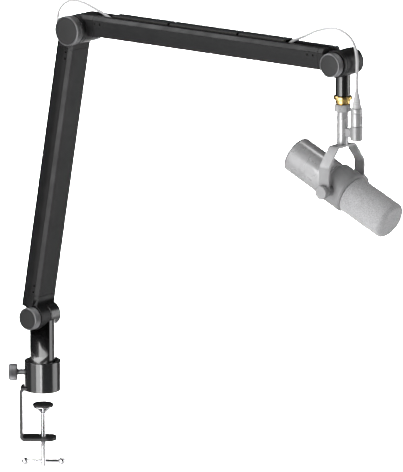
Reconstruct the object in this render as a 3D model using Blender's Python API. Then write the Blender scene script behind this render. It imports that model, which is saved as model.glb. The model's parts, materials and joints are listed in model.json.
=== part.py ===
"""A desk-clamp boom arm that carries a broadcast microphone in a yoke.

The frame: the origin is on the swivel post's axis at the desk's top face, +Z is up and +X points out
from the clamp's back, over the desk. The arm swings in a vertical plane that is turned by ARM_TURN
about the post. In that plane's own frame X is the boom's direction and Y is the direction of every
pivot's axis, with the clamping knobs on the -Y side.
"""

import math

import bmesh
import bpy
from mathutils import Matrix, Vector

MM = 0.001
GAP = 0.3  # between pieces that touch, in millimetres like every size below

# Rest pose, in degrees
ARM_TURN = -38.4
LOWER_LEAN = 11.1
MIC_NOSE_DOWN = 24.6

# Pivots
LOWER_PIVOT_HEIGHT = 117.0
LOWER_LENGTH = 461.0
UPPER_LENGTH = 474.5
ELBOW_RISE = 7.0  # the upper arm's centre line above the elbow's axis
WRIST_RISE = 4.0  # and above the wrist's axis
MIC_DROP = 179.0  # the yoke's pivots below the wrist's axis

# Clamp
BASE_RADIUS = 28.3
BASE_HEIGHT = 47.0
BORE_RADIUS = 21.5
BORE_FLOOR = 8.0
STRAP_WIDTH = 30.0
STRAP_THICK = 4.8
STRAP_BACK = -35.4
STRAP_BOTTOM = -78.3
STRAP_BEND = 7.6
STRAP_TOP_END = -5.0
STRAP_LOWER_END = 21.0
SCREW_RADIUS = 4.0
SCREW_BOTTOM = -121.0
PAD_RADIUS = 16.0
PAD_TOP = -22.0
TOMMY_HEIGHT = -113.0
TOMMY_RADIUS = 2.75
TOMMY_BALL = 5.5
TOMMY_REACH = 28.0
LOCK_HEIGHT = 28.0
STRAP_SCREW_X = -14.0
STRAP_SCREW_Y = 8.0

# Post and lower pivot
POST_RADIUS = 19.2
LOWER_BARREL = 18.8
LOWER_EAR_FAR = 22.5
LOWER_EAR_NEAR = -21.0
LOWER_KNOB_RADIUS = 17.5
LOWER_KNOB_FACE = -35.0

# Arms: one extrusion, depth in the arm's plane and width across it
ARM_DEPTH = 31.0
ARM_HALF = 21.5  # half the upper arm's width
LOWER_HALF = 23.5
ARM_SHOULDER = 5.7  # depth of the short chamfer on each side
ARM_SLANT = 4.0  # how far the side's chamfer and its long slant both come in
ARM_WALL = 2.2
CHANNEL_HALF = 8.5
CHANNEL_DEPTH = 9.0
COVER_RISE = 4.0
BODY_TIP = -0.77  # the lower arm's tube, in degrees from the line between its pivots
BODY_SET = -11.1  # and its middle, set back from the lower pivot

# Elbow and wrist
ELBOW_BARREL = 22.0
CHEEK_INNER = -21.9
ELBOW_CHEEK_OUTER = -29.3
ELBOW_KNOB_RADIUS = 22.5
ELBOW_KNOB_FACE = -43.5
WRIST_BARREL = 19.5
WRIST_CHEEK_INNER = -15.4
WRIST_CHEEK_OUTER = -20.2
WRIST_KNOB_FACE = -33.0
WRIST_KNOB_RADIUS = 17.5
WRIST_FAR = 24.0
WRIST_POST_RADIUS = 11.0
WRIST_POST_BOTTOM = -46.8

# Pivot bolts
BOLT_RADIUS = 4.0
BOLT_HEAD = 7.0
BOLT_HEAD_DEPTH = 6.5  # from the barrel's far end to under the head
BOLT_REACH = 5.0  # from the knob's face to the bolt's tip

# Microphone mount and yoke
THREAD_RADIUS = 7.95
THREAD_BOTTOM = -69.3
STEM_RADIUS = 8.5
YOKE_TOP = -117.0
YOKE_THICK = 3.4
YOKE_WIDTH = 17.0
YOKE_HALF = 42.0
PLUG_X = 24.5
PLUG_RADIUS = 9.3
PLUG_TOP = -62.5
SOCKET_BOTTOM = -109.0

# Microphone, measured along its axis from the yoke's pivots
MIC_RADIUS = 27.2
MIC_REAR = -89.0
COLLAR_RADIUS = 30.5
COLLAR_REAR = -16.0
COLLAR_FRONT = 20.0
FOAM_RADIUS = 27.8
FOAM_FRONT = 95.5

# Cable
CABLE_RADIUS = 2.25

ROUND = 36  # sides of the large turned pieces
SMALL = 16  # sides of the small ones

ALONG = {
    "X": Matrix.Rotation(math.pi / 2, 4, "Y"),
    "Y": Matrix.Rotation(-math.pi / 2, 4, "X"),
    "Z": Matrix.Identity(4),
}


# Tools


def clear():
    for obj in list(bpy.data.objects):
        bpy.data.objects.remove(obj, do_unlink=True)


def material(name, colour, roughness, metallic=0.0):
    mat = bpy.data.materials.new(name)
    mat.use_nodes = True
    shader = mat.node_tree.nodes["Principled BSDF"]
    shader.inputs["Base Color"].default_value = (*colour, 1.0)
    shader.inputs["Roughness"].default_value = roughness
    shader.inputs["Metallic"].default_value = metallic
    return mat


def frame(name, parent=None, at=(0, 0, 0), tip=0.0, turn=0.0):
    """An empty on a joint's axis; at is in millimetres, tip about Y and turn about Z in degrees."""
    empty = bpy.data.objects.new(name, None)
    bpy.context.collection.objects.link(empty)
    empty.parent = parent
    empty.location = Vector(at) * MM
    empty.rotation_euler = (0, math.radians(tip), math.radians(turn))
    return empty


def place(name, bm, finish, parent):
    """Turns a mesh in millimetres into a named object."""
    bmesh.ops.transform(bm, matrix=Matrix.Scale(MM, 4), verts=bm.verts)
    bmesh.ops.recalc_face_normals(bm, faces=bm.faces)
    mesh = bpy.data.meshes.new(name)
    bm.to_mesh(mesh)
    bm.free()
    mesh.shade_smooth()
    mesh.set_sharp_from_angle(angle=math.radians(35))
    obj = bpy.data.objects.new(name, mesh)
    bpy.context.collection.objects.link(obj)
    obj.parent = parent
    if finish:
        mesh.materials.append(finish)
    return obj


def lathe(profile, axis="Z", sides=ROUND, centre=(0, 0, 0)):
    """Turns a closed profile of (radius, height) points about an axis through centre."""
    bm = bmesh.new()
    rings = []
    for radius, height in profile:
        angles = [2 * math.pi * k / sides for k in range(sides if radius else 1)]
        rings.append(
            [bm.verts.new((radius * math.cos(a), radius * math.sin(a), height)) for a in angles]
        )
    for low, high in zip(rings, rings[1:] + rings[:1]):
        if len(low) == len(high) == 1:
            continue
        for k in range(sides):
            n = (k + 1) % sides
            corners = (low[k % len(low)], low[n % len(low)], high[n % len(high)], high[k % len(high)])
            bm.faces.new(list(dict.fromkeys(corners)))
    bmesh.ops.transform(bm, matrix=Matrix.Translation(centre) @ ALONG[axis], verts=bm.verts)
    return bm


def disc(radius, low, high, axis="Z", sides=ROUND, centre=(0, 0, 0), bevel=0.0):
    """A plain cylinder, with its rims bevelled."""
    profile = [(0, low), (radius - bevel, low)]
    if bevel:
        profile += [(radius, low + bevel), (radius, high - bevel)]
    else:
        profile += [(radius, high)]
    profile += [(radius - bevel, high)] * bool(bevel) + [(0, high)]
    return lathe(profile, axis, sides, centre)


def prism(outline, low, high, axis="Z", hole=None):
    """Extrudes an outline, with a hole if given. Along Y an outline is (x, z), along X it is (y, z)."""
    put = {
        "Z": lambda a, b, h: (a, b, h),
        "Y": lambda a, b, h: (a, h, b),
        "X": lambda a, b, h: (h, a, b),
    }[axis]
    bm = bmesh.new()
    ends = []
    for height in (low, high):
        loops = [[bm.verts.new(put(a, b, height)) for a, b in loop] for loop in (outline, hole or [])]
        edges = [
            bm.edges.new((loop[k], loop[(k + 1) % len(loop)])) for loop in loops for k in range(len(loop))
        ]
        bmesh.ops.triangle_fill(bm, use_beauty=True, edges=edges)
        ends.append(loops)
    for low_loop, high_loop in zip(*ends):
        for k in range(len(low_loop)):
            n = (k + 1) % len(low_loop)
            bm.faces.new((low_loop[k], low_loop[n], high_loop[n], high_loop[k]))
    return bm


def block(low, high):
    outline = [(low[0], low[1]), (high[0], low[1]), (high[0], high[1]), (low[0], high[1])]
    return prism(outline, low[2], high[2])


def lug(radius, half, length, low, high, centre, heading):
    """An ear about a pivot along Y: a disc with a neck that leaves it at heading, in degrees from +X."""
    spread = math.degrees(math.asin(half / radius))
    rim = arc((0, 0), radius, spread, 360 - spread, 40)
    outline = rim + [(length, -half), (length, half)]
    turn = math.radians(heading)
    cos, sin = math.cos(turn), math.sin(turn)
    outline = [(centre[0] + a * cos - b * sin, centre[1] + a * sin + b * cos) for a, b in outline]
    return prism(outline, low, high, "Y")


def ribbon(path, thick, half_width, across):
    """A strap: a flat bar bent along a path in a plane. half_width(k) is its half width at point k."""
    bm = bmesh.new()
    rings = []
    for k, (a, b) in enumerate(path):
        before, after = path[max(k - 1, 0)], path[min(k + 1, len(path) - 1)]
        run = Vector((after[0] - before[0], after[1] - before[1])).normalized()
        side = Vector((-run.y, run.x)) * thick / 2
        corners = []
        for sign, wide in ((-1, -1), (-1, 1), (1, 1), (1, -1)):
            flat = Vector((a, b)) + side * sign
            corners.append(bm.verts.new(across(flat.x, flat.y, wide * half_width(k))))
        rings.append(corners)
    for low, high in zip(rings, rings[1:]):
        for k in range(4):
            n = (k + 1) % 4
            bm.faces.new((low[k], low[n], high[n], high[k]))
    bm.faces.new(rings[0])
    bm.faces.new(rings[-1][::-1])
    return bm


def arc(centre, radius, start, end, steps):
    """Points on an arc, angles in degrees."""
    turns = (math.radians(start + (end - start) * k / steps) for k in range(steps + 1))
    return [(centre[0] + radius * math.cos(t), centre[1] + radius * math.sin(t)) for t in turns]


def boolean(obj, bm, operation="DIFFERENCE"):
    """Cuts a shape from an object, or joins it on, with a hidden guide as the operand."""
    guide = place(f"{obj.name}_{operation.lower()}_{len(obj.modifiers)}", bm, None, obj.parent)
    guide.hide_render = True
    guide.display_type = "WIRE"
    modifier = obj.modifiers.new(operation.title(), "BOOLEAN")
    modifier.operation = operation
    modifier.solver = "EXACT"
    modifier.object = guide
    return obj


def smooth_route(points, count):
    """Evenly numbered points on a smooth curve through the route's own points."""
    pts = [Vector(p) for p in points]
    pts = [2 * pts[0] - pts[1]] + pts + [2 * pts[-1] - pts[-2]]
    spans = len(pts) - 3
    out = []
    for k in range(count):
        where = k / (count - 1) * spans
        i = min(int(where), spans - 1)
        t = where - i
        a, b, c, d = pts[i : i + 4]
        out.append(
            0.5 * (2 * b + (c - a) * t + (2 * a - 5 * b + 4 * c - d) * t**2 + (3 * b - a - 3 * c + d) * t**3)
        )
    return out


def tube(name, points, radius, finish, parent, count):
    """A cord: a curve with a round bevel and filled caps."""
    curve = bpy.data.curves.new(name, "CURVE")
    curve.dimensions = "3D"
    spline = curve.splines.new("POLY")
    route = smooth_route(points, count)
    spline.points.add(len(route) - 1)
    for point, where in zip(spline.points, route):
        point.co = (*(where * MM), 1.0)
    curve.bevel_depth = radius * MM
    curve.bevel_resolution = 2
    curve.use_fill_caps = True
    curve.materials.append(finish)
    obj = bpy.data.objects.new(name, curve)
    bpy.context.collection.objects.link(obj)
    obj.parent = parent
    return obj


# Finishes

BLACK_METAL = ("black_metal", (0.02, 0.02, 0.022), 0.35, 0.6)
BLACK_STEEL = ("black_steel", (0.02, 0.02, 0.022), 0.35, 0.6)
BLACK_GLOSS = ("black_gloss", (0.012, 0.012, 0.014), 0.18, 0.5)
BLACK_TRIM = ("black_trim", (0.015, 0.015, 0.016), 0.5, 0.0)
KNURL = ("knurled_metal", (0.12, 0.12, 0.125), 0.4, 0.8)
CHROME = ("chrome", (0.8, 0.8, 0.82), 0.08, 1.0)
BRASS = ("brass", (0.72, 0.52, 0.18), 0.25, 1.0)
RUBBER = ("rubber", (0.02, 0.02, 0.02), 0.8, 0.0)
STEEL = ("steel", (0.35, 0.35, 0.36), 0.35, 1.0)
PALE_METAL = ("pale_metal", (0.55, 0.55, 0.56), 0.35, 0.4)
PALE_CABLE = ("pale_cable", (0.62, 0.62, 0.63), 0.45, 0.0)
FOAM = ("grey_foam", (0.36, 0.36, 0.37), 0.95, 0.0)
BOARD = ("circuit_board", (0.03, 0.16, 0.08), 0.5, 0.0)
FINISHES = {}


def finish(spec):
    if spec[0] not in FINISHES:
        FINISHES[spec[0]] = material(*spec)
    return FINISHES[spec[0]]


# Clamp


def build_clamp(root):
    gloss = finish(BLACK_GLOSS)
    profile = [
        (0, 0),
        (BASE_RADIUS - 1, 0),
        (BASE_RADIUS, 1),
        (BASE_RADIUS, BASE_HEIGHT - 1.5),
        (BASE_RADIUS - 1.5, BASE_HEIGHT),
        (BORE_RADIUS + 2, BASE_HEIGHT),
        (BORE_RADIUS, BASE_HEIGHT - 2),
        (BORE_RADIUS, BORE_FLOOR),
        (0, BORE_FLOOR),
    ]
    base = place("clamp_base", lathe(profile), gloss, root)
    slot_floor = 1.1
    slot_top = slot_floor + STRAP_THICK + 2 * GAP
    half_slot = STRAP_WIDTH / 2 + GAP
    slot = block((STRAP_BACK, -half_slot, slot_floor), (STRAP_TOP_END + GAP, half_slot, slot_top))
    boolean(base, slot)
    boolean(base, disc(5.2, -40, -10, "X", SMALL, (0, 0, LOCK_HEIGHT)))
    for side in (-1, 1):
        hole = disc(2.4, 1.3, 20, "Z", SMALL, (STRAP_SCREW_X, side * STRAP_SCREW_Y, 0))
        boolean(base, hole)

    build_strap(root, slot_floor + GAP + STRAP_THICK / 2)

    for name, side in (("strap_screw_front", -1), ("strap_screw_back", 1)):
        profile = [(0, 1.7), (2.0, 1.7), (2.0, 8.3), (3.5, 8.3), (3.5, 10.8), (3.0, 11.2), (0, 11.2)]
        place(
            name,
            lathe(profile, "Z", 14, (STRAP_SCREW_X, side * STRAP_SCREW_Y, 0)),
            finish(STEEL),
            root,
        )

    bush_out, bush_in = BORE_RADIUS - GAP, POST_RADIUS + 0.4
    profile = [
        (0, 11.6),
        (bush_out, 11.6),
        (bush_out, BASE_HEIGHT - 3.5),
        (bush_in, BASE_HEIGHT - 3.5),
        (bush_in, 14.0),
        (0, 14.0),
    ]
    bush = place("socket_bush", lathe(profile), finish(BLACK_TRIM), root)
    boolean(bush, disc(5.4, -40, -10, "X", SMALL, (0, 0, LOCK_HEIGHT)))

    stem = [(0, -38 - 7.5), (4.4, -38 - 7.5), (5.0, -38 - 6.9), (5.0, -20.6), (4.2, -19.7), (0, -19.7)]
    place("lock_screw_stem", lathe(stem, "X", SMALL, (0, 0, LOCK_HEIGHT)), finish(STEEL), root)
    knob = [
        (5.3, -38.2),
        (5.3, -46.0),
        (0, -46.0),
        (0, -52.3),
        (12.2, -52.3),
        (13.25, -50.5),
        (13.25, -39.6),
        (12.4, -38.2),
    ]
    place("lock_screw_knob", lathe(knob, "X", SMALL, (0, 0, LOCK_HEIGHT)), finish(KNURL), root)


def build_strap(root, leg_height):
    """The C of the clamp: a bent bar whose lower end is rounded in plan."""
    bend = STRAP_BEND - STRAP_THICK / 2
    back = STRAP_BACK + STRAP_THICK / 2
    low = STRAP_BOTTOM + STRAP_THICK / 2
    end_radius = STRAP_WIDTH / 2
    end_centre = STRAP_LOWER_END - end_radius
    path = [(STRAP_TOP_END, leg_height)]
    path += arc((back + bend, leg_height - bend), bend, 90, 180, 6)
    path += arc((back + bend, low + bend), bend, 180, 270, 6)
    straight = len(path)
    turns = [math.radians(10 * k) for k in range(9)]
    path += [(end_centre + end_radius * math.sin(t), low) for t in turns]

    def half_width(k):
        return end_radius * math.cos(turns[k - straight]) if k >= straight else end_radius

    bm = ribbon(path, STRAP_THICK, half_width, lambda a, b, w: (a, w, b))
    strap = place("clamp_strap", bm, finish(BLACK_STEEL), root)
    boolean(strap, disc(SCREW_RADIUS + 0.4, STRAP_BOTTOM - 5, STRAP_BOTTOM + 12, "Z", SMALL))
    for side in (-1, 1):
        hole = disc(2.4, -2, 10, "Z", SMALL, (STRAP_SCREW_X, side * STRAP_SCREW_Y, 0))
        boolean(strap, hole)


def build_clamp_screw(pad_frame, screw_frame, tommy_frame):
    cup_top, cup_bottom = PAD_TOP - 3.0, PAD_TOP - 13.0
    pad = [
        (2.9, cup_bottom),
        (6.0, cup_bottom),
        (7.0, cup_bottom + 1.5),
        (PAD_RADIUS, cup_top - 1.2),
        (PAD_RADIUS, cup_top),
        (0, cup_top),
        (0, cup_top - 3.6),
        (4.5, cup_top - 3.6),
        (4.5, cup_bottom + 2.2),
        (2.9, cup_bottom + 2.2),
    ]
    place("clamp_pad", lathe(pad), finish(CHROME), pad_frame)
    rubber = disc(PAD_RADIUS, cup_top + GAP, PAD_TOP, bevel=0.8)
    place("pad_rubber", rubber, finish(RUBBER), pad_frame)

    neck = cup_bottom + 2.5
    rod = [
        (0, SCREW_BOTTOM),
        (SCREW_RADIUS - 0.8, SCREW_BOTTOM),
        (SCREW_RADIUS, SCREW_BOTTOM + 0.8),
        (SCREW_RADIUS, cup_bottom - 0.5),
        (2.5, cup_bottom - 0.5),
        (2.5, neck),
        (SCREW_RADIUS, neck),
        (SCREW_RADIUS, cup_top - 4.6),
        (2.5, cup_top - 4.0),
        (0, cup_top - 4.0),
    ]
    screw = place("clamp_screw", lathe(rod, sides=24), finish(CHROME), screw_frame)
    boolean(screw, disc(TOMMY_RADIUS + GAP, -10, 10, "X", SMALL, (0, 0, TOMMY_HEIGHT)))

    reach = TOMMY_REACH - 1.5
    bar = disc(TOMMY_RADIUS, -reach, reach, "X", 16, (0, 0, 0))
    place("tommy_bar", bar, finish(CHROME), tommy_frame)
    for name, side in (("tommy_ball_left", -1), ("tommy_ball_right", 1)):
        ring = [
            (TOMMY_BALL * math.sin(t), side * TOMMY_REACH - TOMMY_BALL * math.cos(t))
            for t in (math.pi * k / 10 for k in range(11))
        ]
        ring[0], ring[-1] = (0, ring[0][1]), (0, ring[-1][1])
        ball = place(name, lathe(ring, "X", 16), finish(CHROME), tommy_frame)
        bore_end = side * (reach + GAP)
        low, high = sorted((side * 10, bore_end))
        boolean(ball, disc(TOMMY_RADIUS + GAP, low, high, "X", 16))


# Pivots: a bolt held in the far part, a knob screwed onto its near end


def pivot_bolt(name, head_at, near_end, parent):
    """A hexagon head bolt along a pivot's axis."""
    shank = [(0, near_end), (BOLT_RADIUS, near_end), (BOLT_RADIUS, head_at), (0, head_at)]
    obj = place(f"{name}_bolt", lathe(shank, "Y", SMALL), finish(STEEL), parent)
    head = lathe([(0, head_at - 0.5), (BOLT_HEAD, head_at - 0.5), (BOLT_HEAD, head_at + 4), (0, head_at + 4)],
                 "Y", 6)
    boolean(obj, head, "UNION")
    return obj


def bolt_way(obj, near, far, centre=(0, 0, 0)):
    """The bolt's clearance hole, with its head's recess at the barrel's far end."""
    shank, recess = BOLT_RADIUS + GAP, BOLT_HEAD + 1
    step = far - BOLT_HEAD_DEPTH - 0.8
    stepped = [(0, near), (shank, near), (shank, step), (recess, step), (recess, far + 20), (0, far + 20)]
    boolean(obj, lathe(stepped, "Y", SMALL, centre))


def knob(name, radius, face, back, parent):
    """A knurled clamping knob with a blind bore for its bolt."""
    bore_end = face + BOLT_REACH - GAP
    profile = [
        (BOLT_RADIUS + GAP, back),
        (BOLT_RADIUS + GAP, bore_end),
        (0, bore_end),
        (0, face),
        (radius - 1.2, face),
        (radius, face + 1.2),
        (radius, back - 0.8),
        (radius - 0.8, back),
    ]
    place(f"{name}_knob", lathe(profile, "Y", 32), finish(KNURL), parent)


# Post and lower pivot


def build_post(post, low_pivot, knob_frame):
    metal = finish(BLACK_METAL)
    top = LOWER_PIVOT_HEIGHT - 5
    column = [
        (0, 14.3),
        (POST_RADIUS - 0.8, 14.3),
        (POST_RADIUS, 15.1),
        (POST_RADIUS, top),
        (0, top),
    ]
    obj = place("swivel_post", lathe(column, sides=48), metal, post)
    centre = (0, 0, LOWER_PIVOT_HEIGHT)
    ear_inner = 0.8
    boolean(obj, disc(LOWER_BARREL, ear_inner - 0.5, LOWER_EAR_FAR, "Y", 48, centre, 0.4), "UNION")
    boolean(obj, disc(LOWER_BARREL + 0.6, -40, ear_inner, "Y", 48, centre))
    bolt_way(obj, -5, LOWER_EAR_FAR, centre)
    pivot_bolt("lower_pivot", LOWER_EAR_FAR - BOLT_HEAD_DEPTH, LOWER_KNOB_FACE + BOLT_REACH, low_pivot)
    ring = [(BOLT_RADIUS + 0.6, -0.45), (16, -0.45), (16, 0.45), (BOLT_RADIUS + 0.6, 0.45)]
    place("lower_friction_washer", lathe(ring, "Y", 48), finish(STEEL), low_pivot)
    knob("lower", LOWER_KNOB_RADIUS, LOWER_KNOB_FACE, LOWER_EAR_NEAR - GAP, knob_frame)


# Arms


def section(half, flip=False, channel=True):
    """The arm's outline as (across, depth), with its cable channel in the +depth face.

    Each side has a long slant on one half and a short chamfer at the other edge; flip swaps them.
    """
    deep = ARM_DEPTH / 2
    side = [(half - ARM_SLANT, -deep), (half, 0), (half, deep - ARM_SHOULDER), (half - ARM_SLANT, deep)]
    if flip:
        side = [(a, -b) for a, b in reversed(side)]
    if channel:
        side += [(CHANNEL_HALF, deep), (CHANNEL_HALF, deep - CHANNEL_DEPTH)]
    return side + [(-a, b) for a, b in reversed(side)]


def cell(half, flip=False):
    """The hollow under the channel's floor."""
    deep = ARM_DEPTH / 2 - ARM_WALL
    roof = ARM_DEPTH / 2 - CHANNEL_DEPTH - ARM_WALL
    if flip:
        side = [(half - 5.3, -deep), (half - 2.6, 0.2 - deep + ARM_SHOULDER - ARM_WALL),
                (half - 2.6, 0), (half - 3.7, roof)]
    else:
        side = [(half - 6.1, -deep), (half - 2.6, 0), (half - 2.6, roof)]
    return side + [(-a, b) for a, b in reversed(side)]


def cover_outline():
    """A snap-on channel cover: a raised strip with two legs in the channel."""
    top = ARM_DEPTH / 2
    leg = CHANNEL_HALF - GAP
    right = [(leg - 1.2, top - 3.2), (leg, top - 3.2), (leg, top + GAP), (leg + 2.8, top + GAP),
             (leg + 2.8, top + COVER_RISE - 1.6), (leg + 0.6, top + COVER_RISE)]
    left = [(-a, b) for a, b in reversed(right)]
    inner = [(-(leg - 1.2), top + COVER_RISE - 1.4), (leg - 1.2, top + COVER_RISE - 1.4)]
    return right + left + inner


def lower_prism(outline, low, high, hole=None):
    """A length of the lower arm: across is Y, depth points to -X, and it runs along Z."""
    turned = [(BODY_SET - b, a) for a, b in outline]
    return prism(turned, low, high, "Z", [(BODY_SET - b, a) for a, b in hole] if hole else None)


def upper_prism(outline, low, high, hole=None):
    """A length of the upper arm: across is Y, depth points to +Z, and it runs along X."""
    lifted = [(a, b + ELBOW_RISE) for a, b in outline]
    return prism(lifted, low, high, "X", [(a, b + ELBOW_RISE) for a, b in hole] if hole else None)


LOWER_TUBE = (34.5, LOWER_LENGTH - 34.0)
UPPER_TUBE = (32.0, UPPER_LENGTH - 30.0)
CELL_MIDDLE = -CHANNEL_DEPTH / 2  # the hollow's middle, from the arm's centre line
SPIGOT = 9.0  # how far an end cap reaches into its tube
# The elbow's axis, in the frame of the lower arm's tube
ELBOW_X = -LOWER_LENGTH * math.sin(math.radians(BODY_TIP))
ELBOW_Z = LOWER_LENGTH * math.cos(math.radians(BODY_TIP))


def ear(centre, radius, left, right, reach, low, high):
    """A disc about a pivot along Y, with a neck from X = left to right that ends at Z = reach."""
    side = 1 if reach > centre[1] else -1
    first, last = (math.degrees(math.atan2(side * math.sqrt(radius**2 - (x - centre[0])**2), x - centre[0]))
                   for x in ((left, right) if side > 0 else (right, left)))
    neck = [(right, reach), (left, reach)][::side]
    return prism(arc(centre, radius, first, last + 360, 40) + neck, low, high, "Y")


def build_lower_arm(arm):
    metal = finish(BLACK_METAL)
    start, end = LOWER_TUBE
    hollow = cell(LOWER_HALF, flip=True)
    spigot = shrink(hollow, 0.5)
    solid = section(LOWER_HALF, flip=True, channel=False)
    place("lower_arm_tube", lower_prism(section(LOWER_HALF, flip=True), start, end, hollow), metal, arm)

    bottom = place("lower_arm_bottom_cap", lower_prism(solid, 11.5, start - GAP), metal, arm)
    boolean(bottom, lower_prism(spigot, start - 2, start + SPIGOT), "UNION")
    boolean(bottom, disc(LOWER_BARREL + 0.8, -40, 40, "Y", 48))
    boolean(bottom, ear((0, 0), LOWER_BARREL, -17, 4, 24, LOWER_EAR_NEAR, -0.8), "UNION")
    boolean(bottom, disc(BOLT_RADIUS + GAP, -40, 40, "Y", SMALL))

    elbow = (ELBOW_X, 0, ELBOW_Z)
    cap = place("lower_arm_top_cap", lower_prism(solid, end + GAP, ELBOW_Z - 6), metal, arm)
    boolean(cap, lower_prism(spigot, end - SPIGOT, end + 2), "UNION")
    boolean(cap, disc(ELBOW_BARREL + 0.7, CHEEK_INNER + 0.2, 40, "Y", 48, elbow))
    cheek = (ELBOW_CHEEK_OUTER, CHEEK_INNER)
    boolean(cap, ear((ELBOW_X, ELBOW_Z), ELBOW_BARREL, -14, 2, ELBOW_Z - 29.5, *cheek), "UNION")
    boolean(cap, disc(BOLT_RADIUS + GAP, -60, 40, "Y", SMALL, elbow))
    boolean(cap, block((-40, -5, end - 20), (-17.5, 5, ELBOW_Z + 40)))

    place("lower_channel_cover", lower_prism(cover_outline(), 62, end - 38), finish(BLACK_TRIM), arm)
    spring("lower_spring", arm, lambda u, v, s: (BODY_SET + u - CELL_MIDDLE, v, s), 90, 250)


def shrink(outline, gap):
    """The outline pulled in by about gap on every side."""
    half = max(a for a, b in outline)
    low, high = min(b for a, b in outline), max(b for a, b in outline)
    middle = (low + high) / 2
    across, deep = 1 - gap / half, 1 - 2 * gap / (high - low)
    return [(a * across, middle + (b - middle) * deep) for a, b in outline]


def spring(name, parent, put, start, end, coil=5.6, wire=0.9, turns=12, steps=8):
    """A tension spring in an arm's hollow: a round wire swept along a helix."""
    bm = bmesh.new()
    sides = 4
    rings = []
    count = turns * steps
    for k in range(count + 1):
        angle = 2 * math.pi * k / steps
        along = start + (end - start) * k / count
        ring = []
        for i in range(sides):
            phase = 2 * math.pi * i / sides
            radius = coil + wire * math.cos(phase)
            ring.append(bm.verts.new(put(radius * math.cos(angle), radius * math.sin(angle),
                                         along + wire * math.sin(phase))))
        rings.append(ring)
    for low, high in zip(rings, rings[1:]):
        for i in range(sides):
            n = (i + 1) % sides
            bm.faces.new((low[i], low[n], high[n], high[i]))
    bm.faces.new(rings[0])
    bm.faces.new(rings[-1][::-1])
    return place(name, bm, finish(STEEL), parent)


def build_elbow(upper, knob_frame):
    pivot_bolt("elbow", ARM_HALF - BOLT_HEAD_DEPTH, ELBOW_KNOB_FACE + BOLT_REACH, upper)
    knob("elbow", ELBOW_KNOB_RADIUS, ELBOW_KNOB_FACE, ELBOW_CHEEK_OUTER - GAP, knob_frame)


def build_upper_arm(arm, wrist_height):
    metal = finish(BLACK_METAL)
    start, end = UPPER_TUBE
    place("upper_arm_tube", upper_prism(section(ARM_HALF), start, end, cell(ARM_HALF)), metal, arm)
    spigot = shrink(cell(ARM_HALF), 0.5)
    solid = section(ARM_HALF, channel=False)

    rear = place("upper_arm_rear_cap", upper_prism(solid, 4, start - GAP), metal, arm)
    boolean(rear, upper_prism(spigot, start - 2, start + SPIGOT), "UNION")
    boolean(rear, disc(ELBOW_BARREL, -ARM_HALF, ARM_HALF, "Y", 32, bevel=0.6), "UNION")
    bolt_way(rear, -50, ARM_HALF)
    boolean(rear, block((22, -5, ELBOW_RISE + 8), (60, 5, 60)))

    far = UPPER_LENGTH
    front = place("upper_arm_front_cap", upper_prism(solid, end + GAP, far - WRIST_BARREL - 0.9), metal, arm)
    boolean(front, upper_prism(spigot, end - SPIGOT, end + 2), "UNION")
    cheek = (WRIST_CHEEK_OUTER, WRIST_CHEEK_INNER)
    axis = (far, 0, wrist_height)
    lug_shape = lug(WRIST_BARREL, 12.5, WRIST_BARREL + 6, *cheek, (far, wrist_height), 180)
    boolean(front, lug_shape, "UNION")
    boolean(front, disc(BOLT_RADIUS + GAP, -60, 40, "Y", SMALL, axis))
    boolean(front, block((end - 60, -5, ELBOW_RISE + 8), (far + 60, 5, 60)))

    for k, (low, high) in enumerate(((62, 165), (169, 292), (296, far - 96))):
        place(f"upper_channel_cover_{k + 1}", upper_prism(cover_outline(), low, high),
              finish(BLACK_TRIM), arm)
    spring("upper_spring", arm, lambda u, v, s: (s, v, u + ELBOW_RISE + CELL_MIDDLE), 90, 250)


# Wrist and thread adapter


def build_wrist(wrist, knob_frame, adapter_parent):
    metal = finish(BLACK_METAL)
    near = WRIST_CHEEK_INNER + GAP
    barrel = place("wrist_barrel", disc(WRIST_BARREL, near, WRIST_FAR, "Y", 32, bevel=0.8), metal, wrist)
    bolt_way(barrel, -50, WRIST_FAR)
    spigot = WRIST_POST_RADIUS - 2.5
    boolean(barrel, disc(spigot + GAP, -40, -10, "Z", 24))
    post = place("wrist_post", disc(WRIST_POST_RADIUS, WRIST_POST_BOTTOM, -6, "Z", 32), metal, wrist)
    boolean(post, disc(WRIST_BARREL + GAP, -40, 40, "Y", 32))
    boolean(post, disc(spigot, -25, -10.5, "Z", 24), "UNION")
    boolean(post, disc(5.4, -60, WRIST_POST_BOTTOM + 11, "Z", SMALL))

    pivot_bolt("wrist", WRIST_FAR - BOLT_HEAD_DEPTH, WRIST_KNOB_FACE + BOLT_REACH, wrist)
    knob("wrist", WRIST_KNOB_RADIUS, WRIST_KNOB_FACE, WRIST_CHEEK_OUTER - GAP, knob_frame)

    top = WRIST_POST_BOTTOM - GAP
    flange = [
        (0, THREAD_BOTTOM),
        (THREAD_RADIUS - 0.8, THREAD_BOTTOM),
        (THREAD_RADIUS, THREAD_BOTTOM + 0.8),
        (THREAD_RADIUS, -59.0),
        (10.4, -58.6),
        (11.2, -53.4),
        (13.75, -52.4),
        (13.75, -48.0),
        (12.9, top),
        (5.0, top),
        (5.0, WRIST_POST_BOTTOM + 9.5),
        (0, WRIST_POST_BOTTOM + 9.5),
    ]
    place("thread_adapter", lathe(flange, sides=32), finish(BRASS), adapter_parent)


# Yoke, its stem and the socket beside it


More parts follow.
